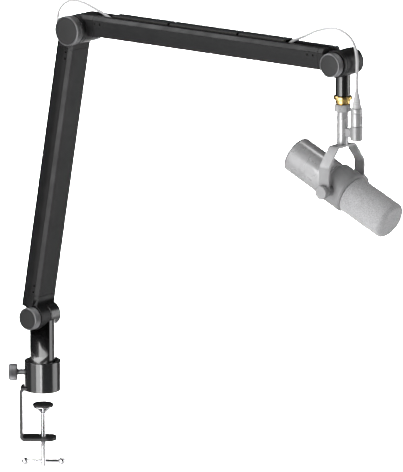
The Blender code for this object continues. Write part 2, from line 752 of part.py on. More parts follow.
def build_yoke(yoke, nut_frame):
    pale = finish(PALE_METAL)
    nut = [(THREAD_RADIUS + GAP, -59.4), (11.7, -59.4), (11.7, -69.6), (THREAD_RADIUS + GAP, -69.6)]
    place("mount_nut", lathe(nut, sides=24), pale, nut_frame)
    place("mount_stem", disc(STEM_RADIUS, YOKE_TOP + GAP, THREAD_BOTTOM - 0.6, bevel=0.4), pale, yoke)

    middle = YOKE_TOP - YOKE_THICK / 2
    pivot = -MIC_DROP
    right = [(20, middle), (YOKE_HALF, -146.0), (YOKE_HALF, pivot)]
    end = [(YOKE_HALF, pivot - YOKE_WIDTH / 2 * math.sin(math.radians(20 * k))) for k in range(1, 5)]
    path = [(-a, b) for a, b in reversed(right + end)] + right + end
    last = len(path) - 1
    wide = YOKE_WIDTH / 2

    def half_width(k):
        step = min(k, last - k)
        return wide * math.cos(math.radians(20 * (4 - step))) if step < 4 else wide

    bm = ribbon(path, YOKE_THICK, half_width, lambda a, b, w: (w, a, b))
    strap = place("yoke", bm, pale, yoke)
    boolean(strap, disc(3.4, -60, 60, "Y", SMALL, (0, 0, pivot)))

    bracket = block((STEM_RADIUS + GAP, -4.5, -105), (PLUG_X - PLUG_RADIUS - GAP, 4.5, -93))
    place("socket_bracket", bracket, pale, yoke)
    socket = [
        (0, SOCKET_BOTTOM),
        (PLUG_RADIUS - 1.8, SOCKET_BOTTOM),
        (PLUG_RADIUS, SOCKET_BOTTOM + 1.8),
        (PLUG_RADIUS, -88.0),
        (7.6, -88.0),
        (7.6, -100.0),
        (0, -100.0),
    ]
    place("mic_socket", lathe(socket, sides=24, centre=(PLUG_X, 0, 0)), pale, yoke)
    plug = [
        (0, -99.0),
        (7.2, -99.0),
        (7.2, -87.7),
        (PLUG_RADIUS - 0.2, -87.7),
        (PLUG_RADIUS - 0.2, PLUG_TOP - 1),
        (PLUG_RADIUS - 1.2, PLUG_TOP),
        (CABLE_RADIUS + GAP, PLUG_TOP),
        (CABLE_RADIUS + GAP, PLUG_TOP - 8),
        (0, PLUG_TOP - 8),
    ]
    place("cable_plug", lathe(plug, sides=24, centre=(PLUG_X, 0, 0)), pale, yoke)
    boot = [
        (CABLE_RADIUS + GAP, PLUG_TOP + GAP),
        (7.2, PLUG_TOP + GAP),
        (5.6, -52),
        (3.6, -40),
        (3.2, -36),
        (CABLE_RADIUS + GAP, -36),
    ]
    place("plug_boot", lathe(boot, sides=20, centre=(PLUG_X, 0, 0)), finish(PALE_CABLE), yoke)


# Microphone


def build_microphone(mic, yoke_knobs):
    pale, grey = finish(PALE_METAL), finish(FOAM)
    inner = MIC_RADIUS - 2.4
    shell = [(inner, MIC_REAR + 3), (MIC_RADIUS, MIC_REAR + 3), (MIC_RADIUS, COLLAR_REAR - GAP),
             (inner, COLLAR_REAR - GAP)]
    place("mic_body_shell", lathe(shell, "X", 32), pale, mic)
    cap = [(0, MIC_REAR), (MIC_RADIUS - 1.5, MIC_REAR), (MIC_RADIUS, MIC_REAR + 1.5),
           (MIC_RADIUS, MIC_REAR + 3 - GAP), (inner - GAP, MIC_REAR + 3 - GAP), (inner - GAP, MIC_REAR + 9),
           (0, MIC_REAR + 9)]
    place("mic_rear_cap", lathe(cap, "X", 32), pale, mic)

    step = COLLAR_RADIUS - MIC_RADIUS
    collar = [(inner - 1, COLLAR_REAR), (MIC_RADIUS, COLLAR_REAR), (COLLAR_RADIUS, COLLAR_REAR + step),
              (COLLAR_RADIUS, COLLAR_FRONT - step), (FOAM_RADIUS, COLLAR_FRONT), (inner - 1, COLLAR_FRONT)]
    ring = place("mic_collar", lathe(collar, "X", 32), pale, mic)
    boss_out = YOKE_HALF - YOKE_THICK / 2 - GAP
    for side in (-1, 1):
        low, high = sorted((side * (inner + 1), side * boss_out))
        boolean(ring, disc(8, low, high, "Y", 24), "UNION")
        low, high = sorted((side * (boss_out - 9), side * 60))
        boolean(ring, disc(3.4, low, high, "Y", SMALL))

    cage_in, cage_out = 22.4, 24.0
    cage = [(cage_in, COLLAR_FRONT + GAP), (cage_out, COLLAR_FRONT + GAP), (cage_out, 84.0),
            (21.0, 88.0), (0, 88.0), (0, 86.4), (20.2, 86.4), (cage_in, 83.2)]
    place("front_grille", lathe(cage, "X", 32), finish(STEEL), mic)
    round_in = 6.0
    rim = arc((FOAM_FRONT - round_in, FOAM_RADIUS - round_in), round_in, 90, 0, 4)
    foam = [(cage_out + GAP, COLLAR_FRONT + GAP), (FOAM_RADIUS, COLLAR_FRONT + GAP)]
    foam += [(r, a) for a, r in rim] + [(0, FOAM_FRONT), (0, 88.4), (21.2, 88.4), (cage_out + GAP, 84.2)]
    place("windscreen_foam", lathe(foam, "X", 32), grey, mic)

    place("capsule", disc(13.5, 42, 62, "X", 32, bevel=0.8), finish(BRASS), mic)
    mount = [(13.8, 46), (cage_in - GAP, 46), (cage_in - GAP, 50), (13.8, 50)]
    place("capsule_mount", lathe(mount, "X", 32), finish(RUBBER), mic)
    board = block((MIC_REAR + 9 + GAP, -15, -0.8), (-30, 15, 0.8))
    place("circuit_board", board, finish(BOARD), mic)

    outer = YOKE_HALF + YOKE_THICK / 2 + GAP
    for (name, side), parent in zip((("yoke_knob_near", -1), ("yoke_knob_far", 1)), yoke_knobs):
        profile = [(0, side * (boss_out - 8)), (3.0, side * (boss_out - 8)), (3.0, side * outer),
                   (9.2, side * outer), (10, side * (outer + 0.8)), (10, side * (outer + 7.4)),
                   (9, side * (outer + 8.4)), (0, side * (outer + 8.4))]
        place(name, lathe(profile, "Y", 24), pale, parent)


# Cable: in the lower channel, round the elbow, in the upper channel, over the wrist, down to the plug

CABLE_FLOOR = ARM_DEPTH / 2 - CHANNEL_DEPTH + CABLE_RADIUS + 1.0


def build_cable(lower, upper, swing, wrist_frame, yoke):
    pale = finish(PALE_CABLE)
    depth = CABLE_FLOOR
    leave = LOWER_LENGTH - 70
    tube("cable_in_lower_arm", [(BODY_SET - depth, 0, z) for z in (64, 200, 320, leave)],
         CABLE_RADIUS, pale, lower, 6)
    turn = Matrix.Rotation(math.radians(LOWER_LEAN + BODY_TIP), 3, "Y")
    elbow_route = [tuple(turn @ Vector((BODY_SET - depth - ELBOW_X, 0, leave - ELBOW_Z + rise)))
                   for rise in (2 * GAP, 9)]
    elbow_route += [(-37.9, -1, -44.7), (-44.5, -4, -22), (-47.2, -7, 3.1), (-43.6, -7, 22.6),
                    (-31, -7, 35), (-16, -5, 39.5), (2, -3, 37), (20, -1, 30.5), (36, 0, 24.5),
                    (50, 0, ELBOW_RISE + depth + 1.2), (64, 0, ELBOW_RISE + depth)]
    tube("cable_elbow_loop", elbow_route, CABLE_RADIUS, pale, swing, 44)
    begin, stop = 64 + GAP, UPPER_LENGTH - 114
    tube("cable_in_upper_arm", [(begin, 0, ELBOW_RISE + depth), (200, 0, ELBOW_RISE + depth),
                                (300, 0, ELBOW_RISE + depth), (stop, 0, ELBOW_RISE + depth)],
         CABLE_RADIUS, pale, upper, 6)
    rise = WRIST_RISE + depth
    wrist_route = [(-114 + 2 * GAP, 0, rise), (-100, 0, rise + 0.5), (-86, 0, rise + 9), (-68, 0, 30.5),
                   (-45, 0, 41), (-22, 0, 46.8), (-4, 0, 45.5), (11, 0, 38), (20.5, 0, 25),
                   (24, 0, 10), (PLUG_X, 0, -5), (PLUG_X, 0, -21)]
    tube("cable_wrist_loop", wrist_route, CABLE_RADIUS, pale, wrist_frame, 50)
    tube("cable_drop", [(PLUG_X, 0, -21 - GAP), (PLUG_X, 0, -35), (PLUG_X, 0, -50),
                        (PLUG_X, 0, PLUG_TOP - 7.6)], CABLE_RADIUS, pale, yoke, 5)


# The whole


def build():
    clear()
    root = frame("clamp_frame")
    build_clamp(root)
    pad = frame("pad_slide")
    screw = frame("screw_spin", pad)
    tommy = frame("tommy_slide", screw, (0, 0, TOMMY_HEIGHT))
    build_clamp_screw(pad, screw, tommy)

    post = frame("swivel", root, turn=ARM_TURN)
    low_pivot = frame("lower_pivot", post, (0, 0, LOWER_PIVOT_HEIGHT))
    build_post(post, low_pivot, frame("lower_knob_spin", low_pivot))

    lower = frame("lower_arm_pivot", low_pivot, tip=LOWER_LEAN)
    body = frame("lower_arm_line", lower, tip=BODY_TIP)
    build_lower_arm(body)
    elbow = frame("elbow_level", lower, (0, 0, LOWER_LENGTH), tip=-LOWER_LEAN)
    rise = ELBOW_RISE - WRIST_RISE
    upper = frame("elbow_pivot", elbow, tip=math.degrees(math.asin(rise / UPPER_LENGTH)))
    build_elbow(upper, frame("elbow_knob_spin", upper))
    build_upper_arm(upper, rise)

    wrist_at = frame("wrist_level", elbow, (math.sqrt(UPPER_LENGTH**2 + rise**2), 0, 0))
    wrist = frame("wrist_pivot", wrist_at)
    build_wrist(wrist, frame("wrist_knob_spin", wrist_at), wrist)
    yoke = frame("mic_swivel", wrist)
    build_yoke(yoke, frame("mount_nut_spin", yoke))
    tilt = frame("mic_tilt", yoke, (0, 0, -MIC_DROP), tip=MIC_NOSE_DOWN)
    knobs = [frame(f"yoke_knob_spin_{k}", yoke, (0, 0, -MIC_DROP)) for k in (1, 2)]
    build_microphone(tilt, knobs)
    build_cable(body, upper, elbow, wrist_at, yoke)


build()
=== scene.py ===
"""Looks for a desk-clamp boom arm that carries a broadcast microphone in a yoke.

Every shape is made in millimetres in one of a few local frames, which are worked out from the packed
joints, and replaces the plain CAD node that it is named after.
"""

import json
import math
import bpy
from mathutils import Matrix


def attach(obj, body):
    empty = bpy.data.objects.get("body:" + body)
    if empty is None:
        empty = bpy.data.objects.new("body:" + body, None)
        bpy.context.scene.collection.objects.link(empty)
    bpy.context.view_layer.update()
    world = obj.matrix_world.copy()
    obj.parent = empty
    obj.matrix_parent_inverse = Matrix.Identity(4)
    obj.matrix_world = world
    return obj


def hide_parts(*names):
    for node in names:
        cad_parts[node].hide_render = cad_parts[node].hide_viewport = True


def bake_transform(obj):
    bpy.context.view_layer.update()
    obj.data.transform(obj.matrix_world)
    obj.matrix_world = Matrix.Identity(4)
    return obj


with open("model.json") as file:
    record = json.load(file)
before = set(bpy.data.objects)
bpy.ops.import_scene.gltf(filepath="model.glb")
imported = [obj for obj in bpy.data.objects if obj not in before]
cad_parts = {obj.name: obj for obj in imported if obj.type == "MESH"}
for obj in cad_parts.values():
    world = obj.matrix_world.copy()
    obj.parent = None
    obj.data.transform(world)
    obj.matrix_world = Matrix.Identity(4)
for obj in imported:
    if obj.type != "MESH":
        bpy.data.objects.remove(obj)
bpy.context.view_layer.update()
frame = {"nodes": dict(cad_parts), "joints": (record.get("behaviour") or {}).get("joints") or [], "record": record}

import bmesh
import bpy
from mathutils import Matrix, Vector

MM = 0.001
NOSE_DOWN = math.radians(24.6)  # the microphone's rest tilt

joints = {j["name"]: j for j in frame["joints"]}
ALONG = {
    "X": Matrix.Rotation(math.pi / 2, 4, "Y"),
    "Y": Matrix.Rotation(-math.pi / 2, 4, "X"),
    "Z": Matrix.Identity(4),
}


def axes(origin, forward, up):
    """A frame from its origin, its X direction and its Z direction, for shapes in millimetres."""
    x, z = Vector(forward).normalized(), Vector(up).normalized()
    y = z.cross(x)
    basis = Matrix((x, y, z)).transposed().to_4x4()
    return Matrix.Translation(origin) @ basis @ Matrix.Scale(MM, 4)


across = Vector(joints["lower_pivot"]["axis"])
UP = Vector((0, 0, 1))
boom = across.cross(UP)
low_at, elbow_at, wrist_at, tilt_at = (
    Vector(joints[name]["pos_m"]) for name in ("lower_pivot", "elbow", "wrist", "mic_tilt")
)
LOWER_LENGTH = (elbow_at - low_at).length / MM
WRIST_LOW = 3.0  # the wrist's axis above the elbow's, square to the upper arm
UPPER_LENGTH = math.sqrt(((wrist_at - elbow_at).length / MM) ** 2 - WRIST_LOW**2)
lower_up = (elbow_at - low_at).normalized()
body_up = Matrix.Rotation(math.radians(-0.77), 3, across) @ lower_up
sink = math.asin(WRIST_LOW / UPPER_LENGTH)
upper_along = Matrix.Rotation(sink, 3, across) @ boom
nose = Matrix.Rotation(NOSE_DOWN, 3, across) @ boom
FRAMES = {
    "world": Matrix.Scale(MM, 4),
    "world_post": axes((0, 0, 0), boom, UP),
    "post": axes((0, 0, 0), boom, UP),
    "pivot": axes(low_at, boom, UP),
    "lower": axes(low_at, across.cross(body_up), body_up),
    "elbow": axes(elbow_at, boom, UP),
    "upper": axes(elbow_at, upper_along, upper_along.cross(across)),
    "wrist": axes(wrist_at, boom, UP),
    "mic": axes(tilt_at, nose, nose.cross(across)),
    "yoke": axes(tilt_at, boom, UP),
}


# Mesh tools; sizes in millimetres


def turned(profile, axis="Z", sides=96, centre=(0, 0, 0), shape=None):
    """Turns a closed profile of (radius, height) about an axis. shape(radius, angle, height) may vary it."""
    bm = bmesh.new()
    rings = []
    for radius, height in profile:
        ring = []
        for k in range(sides if radius else 1):
            angle = 2 * math.pi * k / sides
            r = shape(radius, angle, height) if shape and radius else radius
            ring.append(bm.verts.new((r * math.cos(angle), r * math.sin(angle), height)))
        rings.append(ring)
    for low, high in zip(rings, rings[1:] + rings[:1]):
        if len(low) == len(high) == 1:
            continue
        for k in range(sides):
            n = (k + 1) % sides
            corners = (low[k % len(low)], low[n % len(low)], high[n % len(high)], high[k % len(high)])
            bm.faces.new(list(dict.fromkeys(corners)))
    bmesh.ops.transform(bm, matrix=Matrix.Translation(centre) @ ALONG[axis], verts=bm.verts)
    return bm


def rounded(profile, radius, steps=4):
    """The profile with each corner away from the axis turned into an arc of about that radius."""
    out = []
    for k, point in enumerate(profile):
        here = Vector(point)
        before, after = Vector(profile[k - 1]) - here, Vector(profile[(k + 1) % len(profile)]) - here
        if point[0] == 0 or before.length < 1e-6 or after.length < 1e-6:
            out.append(tuple(point))
            continue
        reach = min(radius, before.length * 0.45, after.length * 0.45)
        start, end = here + before.normalized() * reach, here + after.normalized() * reach
        for i in range(steps + 1):
            t = i / steps
            out.append(tuple(start * (1 - t) ** 2 + here * 2 * t * (1 - t) + end * t**2))
    return out


def disc(radius, low, high, axis="Z", sides=96, centre=(0, 0, 0), bevel=0.5):
    profile = rounded([(0, low), (radius, low), (radius, high), (0, high)], bevel)
    return turned(profile, axis, sides, centre)


def prism(outline, low, high, axis="Z"):
    """Extrudes an outline. Along Y it is (x, z), along X it is (y, z)."""
    put = {
        "Z": lambda a, b, h: (a, b, h),
        "Y": lambda a, b, h: (a, h, b),
        "X": lambda a, b, h: (h, a, b),
    }[axis]
    bm = bmesh.new()
    ends = [[bm.verts.new(put(a, b, h)) for a, b in outline] for h in (low, high)]
    for loop in ends:
        bm.faces.new(loop)
    for k in range(len(outline)):
        n = (k + 1) % len(outline)
        bm.faces.new((ends[0][k], ends[0][n], ends[1][n], ends[1][k]))
    return bm


def block(low, high):
    outline = [(low[0], low[1]), (high[0], low[1]), (high[0], high[1]), (low[0], high[1])]
    return prism(outline, low[2], high[2])


def arc(centre, radius, start, end, steps):
    turns = (math.radians(start + (end - start) * k / steps) for k in range(steps + 1))
    return [(centre[0] + radius * math.cos(t), centre[1] + radius * math.sin(t)) for t in turns]


def ear(centre, radius, left, right, reach, low, high):
    """A disc about a pivot along Y, with a neck from X = left to right that ends at Z = reach."""
    side = 1 if reach > centre[1] else -1
    first, last = (math.degrees(math.atan2(side * math.sqrt(radius**2 - (x - centre[0]) ** 2), x - centre[0]))
                   for x in ((left, right) if side > 0 else (right, left)))
    neck = [(right, reach), (left, reach)][::side]
    return prism(arc(centre, radius, first, last + 360, 96) + neck, low, high, "Y")


def lug(radius, half, length, low, high, centre, heading):
    """An ear about a pivot along Y, with a neck that leaves it at heading."""
    spread = math.degrees(math.asin(half / radius))
    outline = arc((0, 0), radius, spread, 360 - spread, 72) + [(length, -half), (length, half)]
    c, s = math.cos(math.radians(heading)), math.sin(math.radians(heading))
    outline = [(centre[0] + a * c - b * s, centre[1] + a * s + b * c) for a, b in outline]
    return prism(outline, low, high, "Y")


def ribbon(path, thick, half_width, put):
    """A flat bar bent along a path in a plane."""
    bm = bmesh.new()
    rings = []
    for k, (a, b) in enumerate(path):
        before, after = path[max(k - 1, 0)], path[min(k + 1, len(path) - 1)]
        run = Vector((after[0] - before[0], after[1] - before[1])).normalized()
        side = Vector((-run.y, run.x)) * thick / 2
        ring = []
        for sign, wide in ((-1, -1), (-1, 1), (1, 1), (1, -1)):
            flat = Vector((a, b)) + side * sign
            ring.append(bm.verts.new(put(flat.x, flat.y, wide * half_width(k))))
        rings.append(ring)
    for low, high in zip(rings, rings[1:]):
        for k in range(4):
            n = (k + 1) % 4
            bm.faces.new((low[k], low[n], high[n], high[k]))
    bm.faces.new(rings[0])
    bm.faces.new(rings[-1][::-1])
    return bm


def to_object(name, bm, where):
    bmesh.ops.recalc_face_normals(bm, faces=bm.faces)
    bmesh.ops.transform(bm, matrix=FRAMES[where], verts=bm.verts)
    mesh = bpy.data.meshes.new(name)
    bm.to_mesh(mesh)
    bm.free()
    obj = bpy.data.objects.new(name, mesh)
    bpy.context.collection.objects.link(obj)
    return obj


def settle(obj):
    """Applies an object's modifiers."""
    graph = bpy.context.evaluated_depsgraph_get()
    mesh = bpy.data.meshes.new_from_object(obj.evaluated_get(graph))
    obj.modifiers.clear()
    obj.data = mesh


def piece(name, bm, look, where, body, *, joins=(), cuts=(), bevel=0.0, replaces=None):
    """A finished piece: its shape with others joined on and cut out, its edges rounded, riding a body."""
    obj = to_object(name, bm, where)
    tools = []
    for operation, shapes in (("UNION", joins), ("DIFFERENCE", cuts)):
        for shape in shapes:
            guide = to_object("guide", shape, where)
            tools.append(guide)
            modifier = obj.modifiers.new("Boolean", "BOOLEAN")
            modifier.operation, modifier.solver, modifier.object = operation, "EXACT", guide
    if bevel:
        modifier = obj.modifiers.new("Bevel", "BEVEL")
        modifier.width, modifier.segments = bevel * MM, 3
        modifier.limit_method, modifier.angle_limit = "ANGLE", math.radians(40)
        modifier.harden_normals = False
    if tools or bevel:
        settle(obj)
    for guide in tools:
        bpy.data.objects.remove(guide, do_unlink=True)
    obj.data.shade_smooth()
    obj.data.set_sharp_from_angle(angle=math.radians(32))
    if tools or bevel:
        modifier = obj.modifiers.new("Normals", "WEIGHTED_NORMAL")
        modifier.keep_sharp = True
        settle(obj)
    obj.data.materials.clear()
    obj.data.materials.append(look)
    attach(obj, body)
    if replaces is not None:
        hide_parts(*([replaces] if isinstance(replaces, str) else replaces))
    return obj


# Materials


class Nodes:
    """A material's node tree, with short calls for what every finish here uses."""

    def __init__(self, name, colour, rough, metallic=0.0, **sockets):
        self.mat = bpy.data.materials.new(name)
        self.mat.use_nodes = True
        self.tree = self.mat.node_tree
        self.shader = self.tree.nodes["Principled BSDF"]
        self.set("Base Color", (*colour, 1.0))
        self.set("Roughness", rough)
        self.set("Metallic", metallic)
        for socket, value in sockets.items():
            self.set(socket.replace("_", " "), value)
        self.place = self.add("ShaderNodeTexCoord").outputs["Object"]

    def set(self, socket, value):
        self.shader.inputs[socket].default_value = value

    def add(self, kind, **values):
        node = self.tree.nodes.new(kind)
        for key, value in values.items():
            if hasattr(node, key):
                setattr(node, key, value)
            else:
                node.inputs[key.replace("_", " ")].default_value = value
        return node

    def link(self, a, b):
        self.tree.links.new(a, b)

    def noise(self, scale, detail=3.0, rough=0.5):
        """Noise over the piece, scale in features per metre."""
        node = self.add("ShaderNodeTexNoise", Scale=scale, Detail=detail, Roughness=rough)
        self.link(self.place, node.inputs["Vector"])
        return node.outputs["Fac"]

    def lines(self, direction, scale):
        """Noise that changes only along a direction, as turning or extrusion marks do."""
        dot = self.add("ShaderNodeVectorMath", operation="DOT_PRODUCT")
        self.link(self.place, dot.inputs[0])
        dot.inputs[1].default_value = direction
        node = self.add("ShaderNodeTexNoise", noise_dimensions="1D", Scale=scale, Detail=4.0)
        self.link(dot.outputs["Value"], node.inputs["W"])
        return node.outputs["Fac"]

    def remap(self, value, low, high, start=0.3, end=0.7):
        node = self.add("ShaderNodeMapRange")
        self.link(value, node.inputs["Value"])
        for key, number in (("From Min", start), ("From Max", end), ("To Min", low), ("To Max", high)):
            node.inputs[key].default_value = number
        return node.outputs["Result"]

    def mix(self, value, first, second):
        node = self.add("ShaderNodeMix", data_type="RGBA")
        self.link(value, node.inputs["Factor"])
        node.inputs["A"].default_value = (*first, 1.0)
        node.inputs["B"].default_value = (*second, 1.0)
        return node.outputs["Result"]

    def colour(self, value, first, second):
        self.link(self.mix(value, first, second), self.shader.inputs["Base Color"])

    def roughness(self, value, low, high):
        self.link(self.remap(value, low, high), self.shader.inputs["Roughness"])

    def bump(self, value, distance, strength=1.0):
        """distance in millimetres; a second call stacks on the first."""
        node = self.add("ShaderNodeBump", Strength=strength, Distance=distance * MM)
        self.link(value, node.inputs["Height"])
        if self.shader.inputs["Normal"].is_linked:
            self.link(self.shader.inputs["Normal"].links[0].from_socket, node.inputs["Normal"])
        self.link(node.outputs["Normal"], self.shader.inputs["Normal"])


def shade(colour, times):
    return tuple(c * times for c in colour)


def painted(name, colour, rough, metallic, grain=0.01, coat=0.0):
    """Sprayed or baked paint: a faint orange peel, dust-fine grain and a patchy gloss."""
    n = Nodes(name, colour, rough, metallic, Coat_Weight=coat, Coat_Roughness=0.08)
    patches = n.noise(35, 4.0)
    n.roughness(patches, rough * 0.8, min(1.0, rough * 1.25))
    n.colour(n.noise(60, 5.0), shade(colour, 0.8), shade(colour, 1.3))
    n.bump(n.noise(700, 2.0), grain * 1.5)
    n.bump(n.noise(5200, 2.0), grain)
    return n.mat


def machined(name, colour, rough, metallic, direction, depth=0.012):
    """Turned metal: fine lines round the axis under a thin dark finish."""
    n = Nodes(name, colour, rough, metallic)
    fine = n.lines(direction, 2600)
    n.roughness(fine, rough * 0.75, min(1.0, rough * 1.3))
    n.colour(n.lines(direction, 900), shade(colour, 0.75), shade(colour, 1.35))
    n.bump(fine, depth)
    n.bump(n.noise(4000, 2.0), depth * 0.4)
    return n.mat


def extruded(name, colour, rough, direction):
    """Anodised extrusion: long faint die lines and a fine matt grain."""
    n = Nodes(name, colour, rough, 0.35)
    n.roughness(n.noise(45, 4.0), rough * 0.85, rough * 1.2)
    n.colour(n.lines(direction, 500), shade(colour, 0.85), shade(colour, 1.2))
    n.bump(n.lines(direction, 1500), 0.006)
    n.bump(n.noise(6500, 2.0), 0.008)
    return n.mat


def chromed():
    n = Nodes("chrome", (0.83, 0.83, 0.85), 0.06, 1.0)
    n.roughness(n.noise(60, 4.0), 0.03, 0.12)
    n.bump(n.noise(900, 2.0), 0.002)
    return n.mat


def brassy():
    n = Nodes("brass", (0.78, 0.55, 0.2), 0.2, 1.0)
    n.colour(n.noise(160, 5.0), (0.55, 0.36, 0.1), (0.88, 0.66, 0.28))
    n.roughness(n.noise(220, 3.0), 0.14, 0.32)
    n.bump(n.lines((0, 0, 1), 3000), 0.006)
    return n.mat


def foamed():
    """Open-cell foam: round pores of about a millimetre, painted darker in the middle as shade inside the holes,
    with lighter rims, in a slightly blotchy grey.
    """
    n = Nodes("grey_foam", (0.36, 0.36, 0.37), 0.95, 0.0, Sheen_Weight=0.35, Sheen_Roughness=0.6)
    cells = n.add("ShaderNodeTexVoronoi", feature="SMOOTH_F1", Scale=950.0)
    n.link(n.place, cells.inputs["Vector"])
    pore_depth_and_shade = n.remap(cells.outputs["Distance"], 0.0, 1.0, 0.1, 0.55)
    # The pores' dark middles are painted shade inside the holes; the same pattern also gives their bump.
    n.colour(pore_depth_and_shade, (0.22, 0.22, 0.225), (0.4, 0.4, 0.41))
    n.bump(pore_depth_and_shade, 0.25, 0.8)
    n.bump(n.noise(260, 4.0), 0.5, 0.6)
    return n.mat


def rubbery(name, colour, rough, grain):
    n = Nodes(name, colour, rough)
    n.colour(n.noise(90, 5.0), shade(colour, 0.85), shade(colour, 1.15))
    n.roughness(n.noise(140, 3.0), rough * 0.85, min(1.0, rough * 1.15))
    n.bump(n.noise(2200, 3.0), grain)
    return n.mat


def boarded():
    n = Nodes("circuit_board", (0.03, 0.17, 0.08), 0.45)
    n.colour(n.noise(500, 2.0), (0.02, 0.12, 0.06), (0.05, 0.24, 0.12))
    n.bump(n.noise(1500, 2.0), 0.05)
    return n.mat


pivot_way = tuple(across)
LOOK = {
    "black_gloss": painted("black_gloss", (0.006, 0.006, 0.0065), 0.2, 0.0, 0.003, 1.0),
    "post_paint": painted("post_paint", (0.006, 0.006, 0.0065), 0.24, 0.0, 0.003, 1.0),
    "black_metal": painted("black_metal", (0.01, 0.01, 0.0105), 0.36, 0.1, 0.008),
    "pivot_metal": machined("pivot_metal", (0.02, 0.02, 0.021), 0.36, 0.6, pivot_way),
    "black_arm": extruded("black_arm", (0.0085, 0.0085, 0.009), 0.42, pivot_way),
    "black_trim": rubbery("black_trim", (0.006, 0.006, 0.006), 0.45, 0.012),
    "knob_face": painted("knob_face", (0.014, 0.014, 0.0145), 0.5, 0.1, 0.01),
    "knurl": machined("knurl", (0.16, 0.16, 0.165), 0.36, 0.85, pivot_way, 0.006),
    "lock_knurl": machined("lock_knurl", (0.16, 0.16, 0.165), 0.34, 0.85, (1, 0, 0), 0.006),
    "chrome": chromed(),
    "brass": brassy(),
    "steel": machined("steel", (0.4, 0.4, 0.41), 0.3, 1.0, (0, 0, 1), 0.004),
    "rubber": rubbery("rubber", (0.02, 0.02, 0.02), 0.75, 0.03),
    "pale_metal": painted("pale_metal", (0.27, 0.27, 0.275), 0.34, 0.25, 0.006, 0.15),
    "pale_tube": painted("pale_tube", (0.36, 0.36, 0.365), 0.28, 0.35, 0.006, 0.2),
    "grey_metal": painted("grey_metal", (0.24, 0.24, 0.245), 0.5, 0.1, 0.01),
    "foam": foamed(),
    "cable": rubbery("pale_cable", (0.5, 0.5, 0.505), 0.45, 0.01),
    "board": boarded(),
}


# Clamp

BASE_RADIUS, BASE_HEIGHT, BORE_RADIUS, BORE_FLOOR = 28.3, 47.0, 21.5, 8.0
STRAP_WIDTH, STRAP_THICK, STRAP_BACK, STRAP_BOTTOM, STRAP_BEND = 30.0, 4.8, -35.4, -78.3, 7.6
STRAP_TOP_END, STRAP_LOWER_END = -5.0, 21.0
PAD_RADIUS, PAD_TOP = 16.0, -22.0
SCREW_RADIUS, SCREW_BOTTOM, SCREW_PITCH = 4.0, -121.0, 1.25
TOMMY_RADIUS, TOMMY_HEIGHT, TOMMY_BALL, TOMMY_REACH = 2.75, -113.0, 5.5, 28.0
LOCK_HEIGHT = 28.0
GAP = 0.3


def knurled(radius_from, teeth, depth):
    """A shape for turned(): straight knurl teeth where the radius is past radius_from."""

    def shape(radius, angle, height):
        if radius < radius_from:
            return radius
        return radius - depth * abs(math.sin(angle * teeth / 2))

    return shape


def threaded(pitch, depth, low, high, least):
    """A shape for turned(): a V thread between two heights, on radii past least."""

    def shape(radius, angle, height):
        if not low < height < high or radius < least:
            return radius
        phase = (height / pitch - angle / (2 * math.pi)) % 1.0
        return radius - depth * abs(2 * phase - 1)

    return shape


def clamp():
    profile = [(0, 0), (BASE_RADIUS, 0), (BASE_RADIUS, BASE_HEIGHT), (BORE_RADIUS + 2, BASE_HEIGHT),
               (BORE_RADIUS, BASE_HEIGHT - 2), (BORE_RADIUS, BORE_FLOOR), (0, BORE_FLOOR)]
    half = STRAP_WIDTH / 2 + GAP
    slot = block((STRAP_BACK, -half, 1.1), (STRAP_TOP_END + GAP, half, 1.7 + STRAP_THICK))
    holes = [disc(5.4, -40, -10, "X", 48, (0, 0, LOCK_HEIGHT), 0)]
    piece("clamp_base_shell", turned(rounded(profile, 1.3)), LOOK["black_gloss"], "world", "clamp",
          cuts=[slot, *holes], replaces="clamp_base")
    strap()
    lock = (0, 0, LOCK_HEIGHT)
    stem = rounded([(0, -45.5), (5, -45.5), (5, -19.7), (0, -19.7)], 0.8)
    fine = [stem[0], *[(5.0, -45 + k * 0.16) for k in range(155)], *stem[-6:]]
    piece("lock_stem", turned(fine, "X", 40, lock, threaded(1.25, 0.6, -40, -20.6, 4.9)), LOOK["steel"],
          "world", "lock_screw", replaces="lock_screw_stem")
    knob_profile = [(5.3, -38.2), (5.3, -46.0), (0, -46.0), (0, -52.3), (11.0, -52.3), (13.25, -50.0),
                    (13.25, -40.0), (12.2, -38.2)]
    piece("lock_knob", turned(rounded(knob_profile, 0.6), "X", 288, lock, knurled(13.0, 72, 0.5)),
          LOOK["lock_knurl"], "world", "lock_screw", replaces="lock_screw_knob")


def strap():
    bend, back = STRAP_BEND - STRAP_THICK / 2, STRAP_BACK + STRAP_THICK / 2
    low, top = STRAP_BOTTOM + STRAP_THICK / 2, 1.4 + STRAP_THICK / 2
    end = STRAP_WIDTH / 2
    path = [(STRAP_TOP_END, top), (-22, top)]
    path += arc((back + bend, top - bend), bend, 90, 180, 12) + arc((back + bend, low + bend), bend, 180, 270, 12)
    straight = len(path)
    turns = [math.radians(5 * k) for k in range(18)]
    path += [(STRAP_LOWER_END - end + end * math.sin(t), low) for t in turns]

    def half_width(k):
        return end * math.cos(turns[k - straight]) if k >= straight else end

    hole = disc(SCREW_RADIUS + GAP, STRAP_BOTTOM - 5, STRAP_BOTTOM + 12, "Z", 48, bevel=0)
    piece("clamp_strap_bar", ribbon(path, STRAP_THICK, half_width, lambda a, b, w: (a, w, b)),
          LOOK["black_metal"], "world", "clamp", cuts=[hole], bevel=0.7, replaces="clamp_strap")


